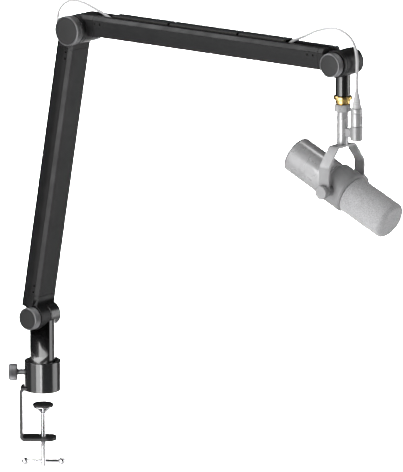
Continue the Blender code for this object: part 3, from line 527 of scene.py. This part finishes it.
def clamp_screw():
    cup_top, cup_bottom = PAD_TOP - 3.0, PAD_TOP - 13.0
    pad = [(2.9, cup_bottom), (6.0, cup_bottom), (7.0, cup_bottom + 1.5), (PAD_RADIUS, cup_top - 1.2),
           (PAD_RADIUS, cup_top), (0, cup_top), (0, cup_top - 3.6), (4.5, cup_top - 3.6),
           (4.5, cup_bottom + 2.2), (2.9, cup_bottom + 2.2)]
    piece("pad_dish", turned(rounded(pad, 0.8)), LOOK["chrome"], "world", "clamp_pad",
          replaces="clamp_pad")
    piece("pad_face", disc(PAD_RADIUS, cup_top + GAP, PAD_TOP, bevel=0.9), LOOK["rubber"], "world", "clamp_pad",
          replaces="pad_rubber")
    low, high = SCREW_BOTTOM + 1, cup_bottom - 1.5
    count = int((high - low) / SCREW_PITCH * 6)
    rod = [(0, SCREW_BOTTOM), (SCREW_RADIUS - 0.8, SCREW_BOTTOM)]
    rod += [(SCREW_RADIUS, low + (high - low) * k / count) for k in range(count + 1)]
    rod += [(2.5, cup_bottom - 0.5), (2.5, cup_bottom + 2.5), (SCREW_RADIUS, cup_bottom + 2.5),
            (SCREW_RADIUS, cup_top - 4.6), (2.5, cup_top - 4.0), (0, cup_top - 4.0)]
    thread = threaded(SCREW_PITCH, 0.35, SCREW_BOTTOM + 14, high - 1, 3.9)
    hole = disc(TOMMY_RADIUS + GAP, -10, 10, "X", 48, (0, 0, TOMMY_HEIGHT), 0)
    piece("clamp_screw_rod", turned(rod, sides=32, shape=thread), LOOK["chrome"], "world", "clamp_screw",
          cuts=[hole], replaces="clamp_screw")
    reach = TOMMY_REACH - 1.5
    at = (0, 0, TOMMY_HEIGHT)
    piece("tommy_rod", disc(TOMMY_RADIUS, -reach, reach, "X", 48, at, 0.4), LOOK["chrome"], "world", "tommy_bar",
          replaces="tommy_bar")
    for name, side in (("left", -1), ("right", 1)):
        steps = 32
        ball = [(TOMMY_BALL * math.sin(math.pi * k / steps),
                 side * TOMMY_REACH - TOMMY_BALL * math.cos(math.pi * k / steps)) for k in range(steps + 1)]
        ball[0], ball[-1] = (0, ball[0][1]), (0, ball[-1][1])
        low, high = sorted((side * 10, side * (reach + 0.1)))
        bore = disc(TOMMY_RADIUS + 0.1, low, high, "X", 48, at, 0)
        piece(f"tommy_knob_{name}", turned(ball, "X", 64, at), LOOK["chrome"], "world", "tommy_bar",
              cuts=[bore], replaces=f"tommy_ball_{name}")


# Pivots

BOLT_RADIUS, BOLT_HEAD, BOLT_HEAD_DEPTH, BOLT_REACH = 4.0, 7.0, 6.5, 5.0
PIVOT_HEIGHT = low_at.z / MM
POST_RADIUS, LOWER_BARREL, LOWER_FAR, LOWER_NEAR, EAR_GAP = 19.2, 18.8, 22.5, -21.0, 0.8


def knob(name, radius, face, back, where, body):
    """A clamping knob: a knurled rim in three bands, a plain lip and a flat face let into it."""
    bore = face + BOLT_REACH - GAP
    start, end = face + 1.6, back - 2.0
    band = (end - start) / 3
    profile = [(BOLT_RADIUS + GAP, back), (BOLT_RADIUS + GAP, bore), (0, bore), (0, face + 0.5),
               (radius - 2.4, face + 0.5), (radius - 2.0, face + 0.1), (radius - 1.3, face),
               (radius - 0.6, face + 0.3), (radius - 0.1, face + 1.0)]
    for k in range(3):
        low = start + k * band
        profile += [(radius - 0.7, low), (radius, low + 0.35), (radius, low + band - 0.35),
                    (radius - 0.7, low + band - 0.02)]
    profile += [(radius - 0.9, end), (radius - 0.9, back - 0.6), (radius - 1.4, back)]
    piece(f"{name}_knob_rim", turned(profile, "Y", 432, shape=knurled(radius - 0.05, 108, 0.42)),
          LOOK["knurl"], where, body, replaces=f"{name}_knob")
    face_disc = turned(rounded([(0, face + 0.52), (radius - 2.5, face + 0.52), (radius - 2.5, face + 0.12),
                                (0, face + 0.12)], 0.15), "Y", 96)
    piece(f"{name}_knob_face", face_disc, LOOK["knob_face"], where, body)


def bolt_way(near, far, centre=(0, 0, 0)):
    shank, recess, step = BOLT_RADIUS + GAP, BOLT_HEAD + 1, far - BOLT_HEAD_DEPTH - 0.8
    return turned([(0, near), (shank, near), (shank, step), (recess, step), (recess, far + 20), (0, far + 20)],
                  "Y", 48, centre)


def hex_bolt(name, far, near_end, where, body, node):
    head = far - BOLT_HEAD_DEPTH
    shank = turned([(0, near_end), (BOLT_RADIUS, near_end), (BOLT_RADIUS, head), (0, head)], "Y", 48)
    hexagon = turned([(0, head - 0.5), (BOLT_HEAD, head - 0.5), (BOLT_HEAD, head + 4), (0, head + 4)], "Y", 6)
    socket = turned([(0, head + 1.6), (3.5, head + 1.6), (3.5, head + 9), (0, head + 9)], "Y", 6)
    piece(f"{name}_hex_bolt", shank, LOOK["steel"], where, body, joins=[hexagon], cuts=[socket], bevel=0.3,
          replaces=node)


def post():
    top = PIVOT_HEIGHT - 5
    centre = (0, 0, PIVOT_HEIGHT)
    column = rounded([(0, 14.3), (POST_RADIUS, 14.3), (POST_RADIUS, top), (0, top)], 0.6)
    ear = disc(LOWER_BARREL, EAR_GAP - 0.5, LOWER_FAR, "Y", 128, centre, 1.0)
    clear = disc(LOWER_BARREL + 0.6, -40, EAR_GAP, "Y", 128, centre, 0)
    piece("post_column", turned(column, sides=128), LOOK["post_paint"], "world_post", "post",
          joins=[ear], cuts=[clear, bolt_way(-5, LOWER_FAR, centre)], replaces="swivel_post")
    hex_bolt("lower_pivot", LOWER_FAR, -30, "pivot", "post", "lower_pivot_bolt")
    knob("lower", 17.5, -35.0, LOWER_NEAR - GAP, "pivot", "lower_knob")


# Arms

DEEP, HALF, LOWER_HALF, SHOULDER, SLANT = 15.5, 21.5, 23.5, 5.7, 4.0
CHANNEL_HALF, CHANNEL_DEPTH, COVER_RISE = 8.5, 9.0, 4.0
SET, ELBOW_RISE = -11.1, 7.0  # the lower arm's middle behind its pivot, the upper arm's above the elbow


def section(half, flip=False, channel=True):
    """The arm's outline: a long slant and a short chamfer on each side, with a fine line beside them."""
    side = [(half - SLANT, -DEEP), (half, 0), (half, DEEP - SHOULDER - 0.9),
            (half - 0.8, DEEP - SHOULDER - 0.7), (half - 0.8, DEEP - SHOULDER), (half, DEEP - SHOULDER + 0.1),
            (half - SLANT, DEEP)]
    if flip:
        side = [(a, -b) for a, b in reversed(side)]
    if channel:
        side += [(CHANNEL_HALF, DEEP), (CHANNEL_HALF, DEEP - CHANNEL_DEPTH)]
    return side + [(-a, b) for a, b in reversed(side)]


def cover_outline():
    leg = CHANNEL_HALF - GAP
    right = [(leg - 1.2, DEEP - 3.2), (leg, DEEP - 3.2), (leg, DEEP + GAP), (leg + 2.8, DEEP + GAP),
             (leg + 2.8, DEEP + COVER_RISE - 1.6), (leg + 0.6, DEEP + COVER_RISE)]
    inner = [(-(leg - 1.2), DEEP + COVER_RISE - 1.4), (leg - 1.2, DEEP + COVER_RISE - 1.4)]
    return right + [(-a, b) for a, b in reversed(right)] + inner


def lower_prism(outline, low, high):
    return prism([(SET - b, a) for a, b in outline], low, high, "Z")


def upper_prism(outline, low, high):
    return prism([(a, b + ELBOW_RISE) for a, b in outline], low, high, "X")


ELBOW = FRAMES["lower"].inverted() @ elbow_at
LOWER_TUBE = (34.5, LOWER_LENGTH - 34.0)
UPPER_TUBE = (32.0, UPPER_LENGTH - 30.0)
ELBOW_BARREL, CHEEK_INNER, CHEEK_OUTER = 22.0, -21.9, -29.3
WRIST_BARREL, WRIST_CHEEK_INNER, WRIST_CHEEK_OUTER, WRIST_FAR = 19.5, -15.4, -20.2, 24.0


def pins(where):
    """The small holes for the screws that hold the end caps, on the arm's knob side."""
    return [disc(1.7, -LOWER_HALF - 5, -HALF + 2.2, "Y", 24, at, 0) for at in where]


def lower_arm():
    start, end = LOWER_TUBE
    solid = section(LOWER_HALF, True, False)
    top = (ELBOW.x, ELBOW.z)
    piece("lower_tube", lower_prism(section(LOWER_HALF, True), start, end), LOOK["black_arm"], "lower",
          "lower_arm", cuts=pins([(-4.8, 0, z) for z in (40.4, 50.3, end - 5, end - 15)]), bevel=0.45,
          replaces="lower_arm_tube")
    clear = disc(LOWER_BARREL + 0.8, -40, 40, "Y", 128, bevel=0)
    piece("lower_end_cap", lower_prism(solid, 11.5, start - GAP), LOOK["black_arm"], "lower", "lower_arm",
          cuts=[clear], bevel=0.45, replaces="lower_arm_bottom_cap")
    way = disc(BOLT_RADIUS + GAP, -60, 40, "Y", 48, bevel=0)
    piece("lower_ear", ear((0, 0), LOWER_BARREL, -17, 4, 24, LOWER_NEAR, -EAR_GAP), LOOK["pivot_metal"],
          "lower", "lower_arm", cuts=[way], bevel=0.8)
    groove = block((-40, -5, end - 20), (-17.5, 5, ELBOW.z + 40))
    clear = disc(ELBOW_BARREL + 0.7, CHEEK_INNER + 0.2, 40, "Y", 128, ELBOW, 0)
    piece("lower_top_cap", lower_prism(solid, end + GAP, ELBOW.z - 6), LOOK["black_arm"], "lower", "lower_arm",
          cuts=[clear, groove], bevel=0.45, replaces="lower_arm_top_cap")
    way = disc(BOLT_RADIUS + GAP, -60, 40, "Y", 48, ELBOW, 0)
    cheek = ear(top, ELBOW_BARREL, -14, 2, ELBOW.z - 29.5, CHEEK_OUTER, CHEEK_INNER)
    piece("elbow_cheek", cheek, LOOK["pivot_metal"], "lower", "lower_arm", cuts=[way], bevel=0.8)
    piece("lower_cover", lower_prism(cover_outline(), 62, end - 38), LOOK["black_trim"], "lower",
          "lower_arm", bevel=0.25, replaces="lower_channel_cover")


def upper_arm():
    start, end = UPPER_TUBE
    arm = LOOK["black_arm"]
    solid = section(HALF, False, False)
    holes = pins([(x, 0, ELBOW_RISE + 5) for x in (start + 4, start + 14, end - 7, end - 17)])
    piece("upper_tube", upper_prism(section(HALF), start, end), arm, "upper", "upper_arm", cuts=holes,
          bevel=0.45, replaces="upper_arm_tube")
    notch = block((22, -5, ELBOW_RISE + 8), (60, 5, 60))
    piece("upper_rear_cap", upper_prism(solid, 4, start - GAP), arm, "upper", "upper_arm",
          joins=[disc(ELBOW_BARREL, -HALF, HALF, "Y", 128, bevel=0.8)], cuts=[bolt_way(-50, HALF), notch],
          bevel=0.5, replaces="upper_arm_rear_cap")
    hex_bolt("elbow", HALF, -38.5, "upper", "upper_arm", "elbow_bolt")
    far = UPPER_LENGTH
    piece("upper_front_cap", upper_prism(solid, end + GAP, far - WRIST_BARREL - 0.9), arm, "upper", "upper_arm",
          cuts=[block((end - 60, -5, ELBOW_RISE + 8), (far + 60, 5, 60))], bevel=0.5,
          replaces="upper_arm_front_cap")
    way = disc(BOLT_RADIUS + GAP, -60, 40, "Y", 48, (far, 0, WRIST_LOW), 0)
    cheek = lug(WRIST_BARREL, 12.5, WRIST_BARREL + 1.2, WRIST_CHEEK_OUTER, WRIST_CHEEK_INNER,
                (far, WRIST_LOW), 180)
    piece("wrist_cheek", cheek, LOOK["pivot_metal"], "upper", "upper_arm", cuts=[way], bevel=0.6)
    for k, (low, high) in enumerate(((62, 165), (169, 292), (296, far - 96))):
        piece(f"upper_cover_{k + 1}", upper_prism(cover_outline(), low, high), LOOK["black_trim"], "upper",
              "upper_arm", bevel=0.25, replaces=f"upper_channel_cover_{k + 1}")
    knob("elbow", 22.5, -43.5, CHEEK_OUTER - GAP, "elbow", "elbow_knob")


# Wrist

WRIST_POST, WRIST_POST_END = 11.0, -46.8
THREAD_RADIUS, THREAD_END = 7.95, -69.3


def wrist():
    near = WRIST_CHEEK_INNER + GAP
    piece("wrist_head", disc(WRIST_BARREL, near, WRIST_FAR, "Y", 128, bevel=1.0), LOOK["pivot_metal"], "wrist",
          "wrist", cuts=[bolt_way(-50, WRIST_FAR)], replaces="wrist_barrel")
    saddle = disc(WRIST_BARREL + 0.1, -40, 40, "Y", 128, bevel=0)
    column = rounded([(0, WRIST_POST_END), (WRIST_POST, WRIST_POST_END), (WRIST_POST, -6), (0, -6)], 0.5)
    piece("wrist_column", turned(column), LOOK["post_paint"], "wrist", "wrist", cuts=[saddle],
          replaces="wrist_post")
    hex_bolt("wrist", WRIST_FAR, -28, "wrist", "wrist", "wrist_bolt")
    knob("wrist", 17.5, -33.0, WRIST_CHEEK_OUTER - GAP, "wrist", "wrist_knob")
    low, high = THREAD_END + 0.8, -59.0
    pitch = 0.94
    count = int((high - low) / pitch * 7)
    profile = [(0, THREAD_END), (THREAD_RADIUS - 0.8, THREAD_END)]
    profile += [(THREAD_RADIUS, low + (high - low) * k / count) for k in range(count + 1)]
    flange = [(7.0, -58.9), (9.6, -58.7), (10.6, -57.6), (11.2, -53.6), (13.4, -52.4), (13.75, -51.6),
              (13.75, -48.2), (12.9, WRIST_POST_END - GAP)]
    profile += flange + [(0, WRIST_POST_END - GAP)]
    piece("brass_adapter", turned(profile, sides=96, shape=threaded(pitch, 0.5, low, high, 7.9)), LOOK["brass"],
          "wrist", "wrist", replaces="thread_adapter")


# Yoke, stem and plug

YOKE_TOP, YOKE_THICK, YOKE_WIDE, YOKE_HALF, MIC_DROP = -117.0, 3.4, 17.0, 42.0, 179.0
STEM_RADIUS, PLUG_X, PLUG_RADIUS, PLUG_TOP, SOCKET_BOTTOM = 8.5, 24.5, 9.3, -62.5, -109.0
CABLE_RADIUS = 2.25


def yoke():
    pale = LOOK["pale_metal"]
    nut = [(THREAD_RADIUS + GAP, -59.4), (11.7, -59.4), (11.7, -69.6), (THREAD_RADIUS + GAP, -69.6)]
    piece("captive_nut", turned(rounded(nut, 0.6), sides=192, shape=knurled(11.5, 48, 0.35)), pale, "wrist",
          "mount_nut", replaces="mount_nut")
    piece("stem", disc(STEM_RADIUS, YOKE_TOP, THREAD_END - 0.6, bevel=0.6), LOOK["pale_tube"], "wrist", "yoke",
          replaces="mount_stem")
    middle, pivot = YOKE_TOP - YOKE_THICK / 2, -MIC_DROP
    ends = [(YOKE_HALF, pivot - YOKE_WIDE / 2 * math.sin(math.radians(10 * k))) for k in range(1, 9)]
    right = [(0, middle), (16, middle), (20, middle - 0.4), (22.5, middle - 3), (YOKE_HALF - 1.6, -143.5),
             (YOKE_HALF, -148.5), (YOKE_HALF, pivot)] + ends
    path = [(-a, b) for a, b in reversed(right[1:])] + right
    last = len(path) - 1

    def half_width(k):
        step = min(k, last - k)
        return YOKE_WIDE / 2 * math.cos(math.radians(10 * (8 - step))) if step < 8 else YOKE_WIDE / 2

    holes = [disc(3.4, -60, 60, "Y", 48, (0, 0, pivot), 0)]
    piece("yoke_strap", ribbon(path, YOKE_THICK, half_width, lambda a, b, w: (w, a, b)), pale, "wrist", "yoke",
          cuts=holes, bevel=0.7, replaces="yoke")
    piece("socket_arm", block((STEM_RADIUS - 0.8, -4.5, -105), (PLUG_X - PLUG_RADIUS + 0.8, 4.5, -93)), pale,
          "wrist", "yoke", bevel=0.9, replaces="socket_bracket")
    at = (PLUG_X, 0, 0)
    socket = [(0, SOCKET_BOTTOM), (PLUG_RADIUS, SOCKET_BOTTOM), (PLUG_RADIUS, -88.0), (7.6, -88.0),
              (7.6, -100.0), (0, -100.0)]
    piece("socket_shell", turned(rounded(socket, 1.8), centre=at), pale, "wrist", "yoke", replaces="mic_socket")
    top = PLUG_RADIUS - 0.2
    plug = [(0, -99.0), (7.2, -99.0), (7.2, -87.7), (top, -87.7), (top, -70.0), (top - 0.5, -69.6),
            (top - 0.5, -68.8), (top, -68.4), (top, PLUG_TOP), (CABLE_RADIUS + GAP, PLUG_TOP), (0, PLUG_TOP)]
    piece("plug_shell", turned(rounded(plug, 0.5), centre=at), LOOK["pale_tube"], "wrist", "yoke",
          replaces="cable_plug")
    latch = block((PLUG_X + 6.4, -2.6, -84.5), (PLUG_X + 9.9, 2.6, -73.0))
    piece("plug_latch", latch, LOOK["grey_metal"], "wrist", "yoke", bevel=0.8)
    boot = [(CABLE_RADIUS + 0.02, PLUG_TOP + GAP), (7.2, PLUG_TOP + GAP)]
    ribs = 7
    for k in range(ribs):
        low, high = -60.5 + k * 3.3, -60.5 + k * 3.3 + 2.3
        wide = 6.9 - 3.6 * k / (ribs - 1)
        boot += [(wide, low), (wide - 0.25, high), (wide - 1.0, high + 0.15), (wide - 1.1, low + 3.1)]
    boot += [(3.1, -36.6), (2.8, -36), (CABLE_RADIUS + 0.02, -36)]
    piece("plug_sleeve", turned(boot, sides=64, centre=at), LOOK["cable"], "wrist", "yoke",
          replaces="plug_boot")


# Microphone

MIC_RADIUS, MIC_REAR, COLLAR_RADIUS, COLLAR_REAR, COLLAR_FRONT = 27.2, -89.0, 30.5, -16.0, 20.0
FOAM_RADIUS, FOAM_FRONT = 27.8, 95.5


def ripple(x, y, z, scale):
    """A cheap smooth unevenness between -1 and 1."""
    a = math.sin(x * scale + 1.3 * math.sin(y * scale * 0.7 + 0.4))
    b = math.sin(y * scale * 1.1 + 1.7 * math.sin(z * scale * 0.8 + 1.1))
    return (a + b + math.sin(z * scale * 1.3 + x * scale * 0.4)) / 3


def microphone():
    inner = MIC_RADIUS - 2.4
    shell = [(inner, MIC_REAR + 3), (MIC_RADIUS, MIC_REAR + 3), (MIC_RADIUS, COLLAR_REAR - GAP),
             (inner, COLLAR_REAR - GAP)]
    piece("mic_tube", turned(rounded(shell, 0.5), "X", 128), LOOK["pale_tube"], "mic", "microphone",
          replaces="mic_body_shell")
    cap = [(0, MIC_REAR), (MIC_RADIUS, MIC_REAR), (MIC_RADIUS, MIC_REAR + 3 - GAP),
           (inner - GAP, MIC_REAR + 3 - GAP), (inner - GAP, MIC_REAR + 9), (0, MIC_REAR + 9)]
    piece("mic_back", turned(rounded(cap, 1.4), "X", 128), LOOK["pale_metal"], "mic", "microphone",
          replaces="mic_rear_cap")
    step = COLLAR_RADIUS - MIC_RADIUS
    collar = [(inner - 1, COLLAR_REAR), (MIC_RADIUS, COLLAR_REAR), (COLLAR_RADIUS, COLLAR_REAR + step),
              (COLLAR_RADIUS, COLLAR_FRONT - step), (FOAM_RADIUS, COLLAR_FRONT), (inner - 1, COLLAR_FRONT)]
    boss_out = YOKE_HALF - YOKE_THICK / 2 - GAP
    bosses, bores = [], []
    for side in (-1, 1):
        low, high = sorted((side * (inner + 1), side * boss_out))
        bosses.append(disc(8, low, high, "Y", 64, bevel=0.8))
        low, high = sorted((side * (boss_out - 9), side * 60))
        bores.append(disc(3.4, low, high, "Y", 48, bevel=0))
    piece("mic_band", turned(rounded(collar, 1.2), "X", 128), LOOK["grey_metal"], "mic", "microphone",
          joins=bosses, cuts=bores, replaces="mic_collar")
    windscreen()
    outer = YOKE_HALF + YOKE_THICK / 2 + GAP
    for name, side in (("near", -1), ("far", 1)):
        profile = [(0, boss_out - 8), (3.0, boss_out - 8), (3.0, outer), (9.4, outer), (10, outer + 0.8),
                   (10, outer + 7.4), (9, outer + 8.4), (0, outer + 8.4)]
        profile = [(r, side * h) for r, h in rounded(profile, 0.5)]
        piece(f"yoke_{name}_thumb_knob", turned(profile, "Y", 240, shape=knurled(9.9, 40, 0.45)),
              LOOK["pale_metal"], "yoke", f"yoke_knob_{name}", replaces=f"yoke_knob_{name}")


def windscreen():
    """The foam: a soft cup, denser in points than the rest, with a gentle unevenness."""
    cage = 24.0 + GAP
    soft = 7.0
    profile = [(cage, COLLAR_FRONT + GAP), (FOAM_RADIUS - 1.0, COLLAR_FRONT + GAP),
               (FOAM_RADIUS - 0.1, COLLAR_FRONT + 1.5)]
    straight = FOAM_FRONT - soft
    count = 60
    start = COLLAR_FRONT + 2.5
    profile += [(FOAM_RADIUS, start + (straight - start) * k / count) for k in range(count + 1)]
    rim = arc((straight, FOAM_RADIUS - soft), soft, 90, 0, 12)
    profile += [(r, a) for a, r in rim[1:]]
    profile += [(r, FOAM_FRONT) for r in (17, 13, 9, 5, 1.5, 0)]
    profile += [(0, 88.4), (21.2, 88.4), (cage, 84.2)]

    def shape(radius, angle, height):
        y, z = radius * math.cos(angle), radius * math.sin(angle)
        return radius - 0.12 * (1 + ripple(height, y, z, 0.45)) - 0.08 * (1 + ripple(y, z, height, 1.7))

    foam = piece("windscreen", turned(profile, "X", 160, shape=shape), LOOK["foam"], "mic", "microphone",
                 replaces="windscreen_foam")


# Cable; the route's points are part.py's, in millimetres

CABLE_FLOOR = DEEP - CHANNEL_DEPTH + CABLE_RADIUS + 1.0


def smooth_route(points, count):
    """Points on a smooth curve through the route's own points."""
    pts = [Vector(p) for p in points]
    pts = [2 * pts[0] - pts[1]] + pts + [2 * pts[-1] - pts[-2]]
    spans = len(pts) - 3
    out = []
    for k in range(count):
        where = k / (count - 1) * spans
        i = min(int(where), spans - 1)
        t = where - i
        a, b, c, d = pts[i:i + 4]
        out.append(0.5 * (2 * b + (c - a) * t + (2 * a - 5 * b + 4 * c - d) * t**2
                          + (3 * b - a - 3 * c + d) * t**3))
    return out


def lead(name, route, where, body, node, count=160, sides=24):
    """A length of cable: a round tube swept along its route. Returns it with its centreline."""
    line = [FRAMES[where] @ p for p in smooth_route(route, count)]
    bm = bmesh.new()
    rings = []
    normal = across.copy()
    for k, p in enumerate(line):
        run = (line[min(k + 1, count - 1)] - line[max(k - 1, 0)]).normalized()
        normal = (normal - run * normal.dot(run)).normalized()
        other = run.cross(normal)
        turns = [2 * math.pi * i / sides for i in range(sides)]
        rings.append([bm.verts.new(p + (normal * math.cos(t) + other * math.sin(t)) * CABLE_RADIUS * MM)
                      for t in turns])
    for low, high in zip(rings, rings[1:]):
        for i in range(sides):
            n = (i + 1) % sides
            bm.faces.new((low[i], low[n], high[n], high[i]))
    bm.faces.new(rings[0][::-1])
    bm.faces.new(rings[-1])
    bmesh.ops.transform(bm, matrix=FRAMES[where].inverted(), verts=bm.verts)
    obj = to_object(name, bm, where)
    obj.data.shade_smooth()
    obj.data.set_sharp_from_angle(angle=math.radians(50))
    obj.data.materials.append(LOOK["cable"])
    if body:
        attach(obj, body)
    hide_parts(node)
    return obj, line


def cable():
    leave = LOWER_LENGTH - 70
    lead("lead_in_lower_arm", [(SET - CABLE_FLOOR, 0, z) for z in (64, 200, 320, leave)], "lower", "lower_arm",
         "cable_in_lower_arm", 12)
    to_elbow = FRAMES["elbow"].inverted() @ FRAMES["lower"]
    route = [tuple(to_elbow @ Vector((SET - CABLE_FLOOR, 0, leave + rise))) for rise in (2 * GAP, 9)]
    route += [(-37.9, -1, -44.7), (-44.5, -4, -22), (-47.2, -7, 3.1), (-43.6, -7, 22.6), (-31, -7, 35),
              (-16, -5, 39.5), (2, -3, 37), (20, -1, 30.5), (36, 0, 24.5),
              (50, 0, ELBOW_RISE + CABLE_FLOOR + 1.2), (64, 0, ELBOW_RISE + CABLE_FLOOR)]
    loop, line = lead("elbow_lead", route, "elbow", None, "cable_elbow_loop")
    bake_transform(loop)
    heights = [ELBOW_RISE + CABLE_FLOOR] * 4
    lead("lead_in_upper_arm", [(x, 0, z) for x, z in zip((64 + GAP, 200, 300, UPPER_LENGTH - 114), heights)],
         "upper", "upper_arm", "cable_in_upper_arm", 12)
    rise = ELBOW_RISE - WRIST_LOW + CABLE_FLOOR
    route = [(-114 + 2 * GAP, 0, rise), (-100, 0, rise + 0.5), (-86, 0, rise + 9), (-68, 0, 30.5), (-45, 0, 41),
             (-22, 0, 46.75), (-4, 0, 45.5), (11, 0, 38), (20.5, 0, 25), (24, 0, 10), (PLUG_X, 0, -5),
             (PLUG_X, 0, -21)]
    loop, line = lead("wrist_lead", route, "wrist", None, "cable_wrist_loop")
    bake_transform(loop)
    route = [(PLUG_X, 0, z) for z in (-21 - GAP, -35, -50, PLUG_TOP - 7.6)]
    drop, line = lead("drop_lead", route, "wrist", None, "cable_drop", 40)
    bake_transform(drop)


# What keeps its CAD shape


def carried_over():
    looks = {"steel": "steel", "black_trim": "black_trim", "brass": "brass", "rubber": "rubber",
             "circuit_board": "board"}
    slots = {part["node"]: part["material_slot"] for part in frame["record"]["subparts"]}
    for name in ("strap_screw_front", "strap_screw_back", "socket_bush", "lower_friction_washer",
                 "lower_spring", "upper_spring", "front_grille", "capsule", "capsule_mount", "circuit_board"):
        obj = frame["nodes"][name]
        for material_slot in obj.material_slots:
            material_slot.material = LOOK[looks[slots[name]]]


# Studio


def area(name, at, look_at, energy, size, spread=180):
    light = bpy.data.lights.new(name, "AREA")
    light.energy = energy
    light.spread = math.radians(spread)
    light.shape = "RECTANGLE"
    light.size, light.size_y = size
    obj = bpy.data.objects.new(name, light)
    bpy.context.collection.objects.link(obj)
    obj.location = at
    obj.rotation_euler = (Vector(look_at) - Vector(at)).to_track_quat("-Z", "Y").to_euler()


def panel(name, middle, bearing, energy, size):
    """An upright soft panel 2 m from the middle, at a bearing in degrees to the right of the camera."""
    turn = math.radians(bearing)
    area(name, middle + 2 * Vector((math.sin(turn), -math.cos(turn), 0)), middle, energy, size)


def studio():
    bm = bmesh.new()
    bmesh.ops.create_grid(bm, x_segments=1, y_segments=1, size=60)
    mesh = bpy.data.meshes.new("floor")
    bm.to_mesh(mesh)
    bm.free()
    floor = bpy.data.objects.new("floor", mesh)
    floor.location = (0, 0, -0.8)
    bpy.context.collection.objects.link(floor)
    n = Nodes("floor_paint", (0.9, 0.9, 0.9), 0.9)
    mesh.materials.append(n.mat)

    world = bpy.data.worlds.new("soft_sky")
    bpy.context.scene.world = world
    world.use_nodes = True
    background = world.node_tree.nodes["Background"]
    background.inputs["Color"].default_value = (1.0, 1.0, 1.0, 1.0)
    background.inputs["Strength"].default_value = 0.05
    middle = Vector((0.2, -0.15, 0.3))
    panel("left_panel", middle, -31, 44, (1.15, 2.4))
    panel("left_edge_panel", middle, -66, 9, (1.0, 2.4))
    area("front_strip", (-0.25, -2.1, -0.2), (0.15, -0.1, 0.2), 7, (0.3, 0.8))
    area("shoulder_light", (-1.4, -0.2, 1.7), (0.2, -0.15, 0.6), 20, (1.0, 1.0))
    panel("right_panel", middle, 88, 24, (1.45, 2.4))
    area("floor_wash", (0.25, 6.6, 3.2), (0.25, 6.599, -0.8), 900, (2.6, 8.0), 45)
    area("top", (0.2, 0.2, 2.6), middle, 16, (1.6, 0.7))
    bpy.context.scene.view_settings.view_transform = "Standard"

    data = bpy.data.cameras.new("camera")
    data.lens = 305.5
    data.sensor_width = 36
    data.clip_end = 200
    camera = bpy.data.objects.new("camera", data)
    bpy.context.collection.objects.link(camera)
    camera.location = (0.242, -5.909, 1.572)
    camera.rotation_euler = (math.pi / 2 - 0.2217, 0, 0)
    bpy.context.scene.camera = camera


clamp()
clamp_screw()
post()
lower_arm()
upper_arm()
wrist()
yoke()
microphone()
cable()
carried_over()
studio()
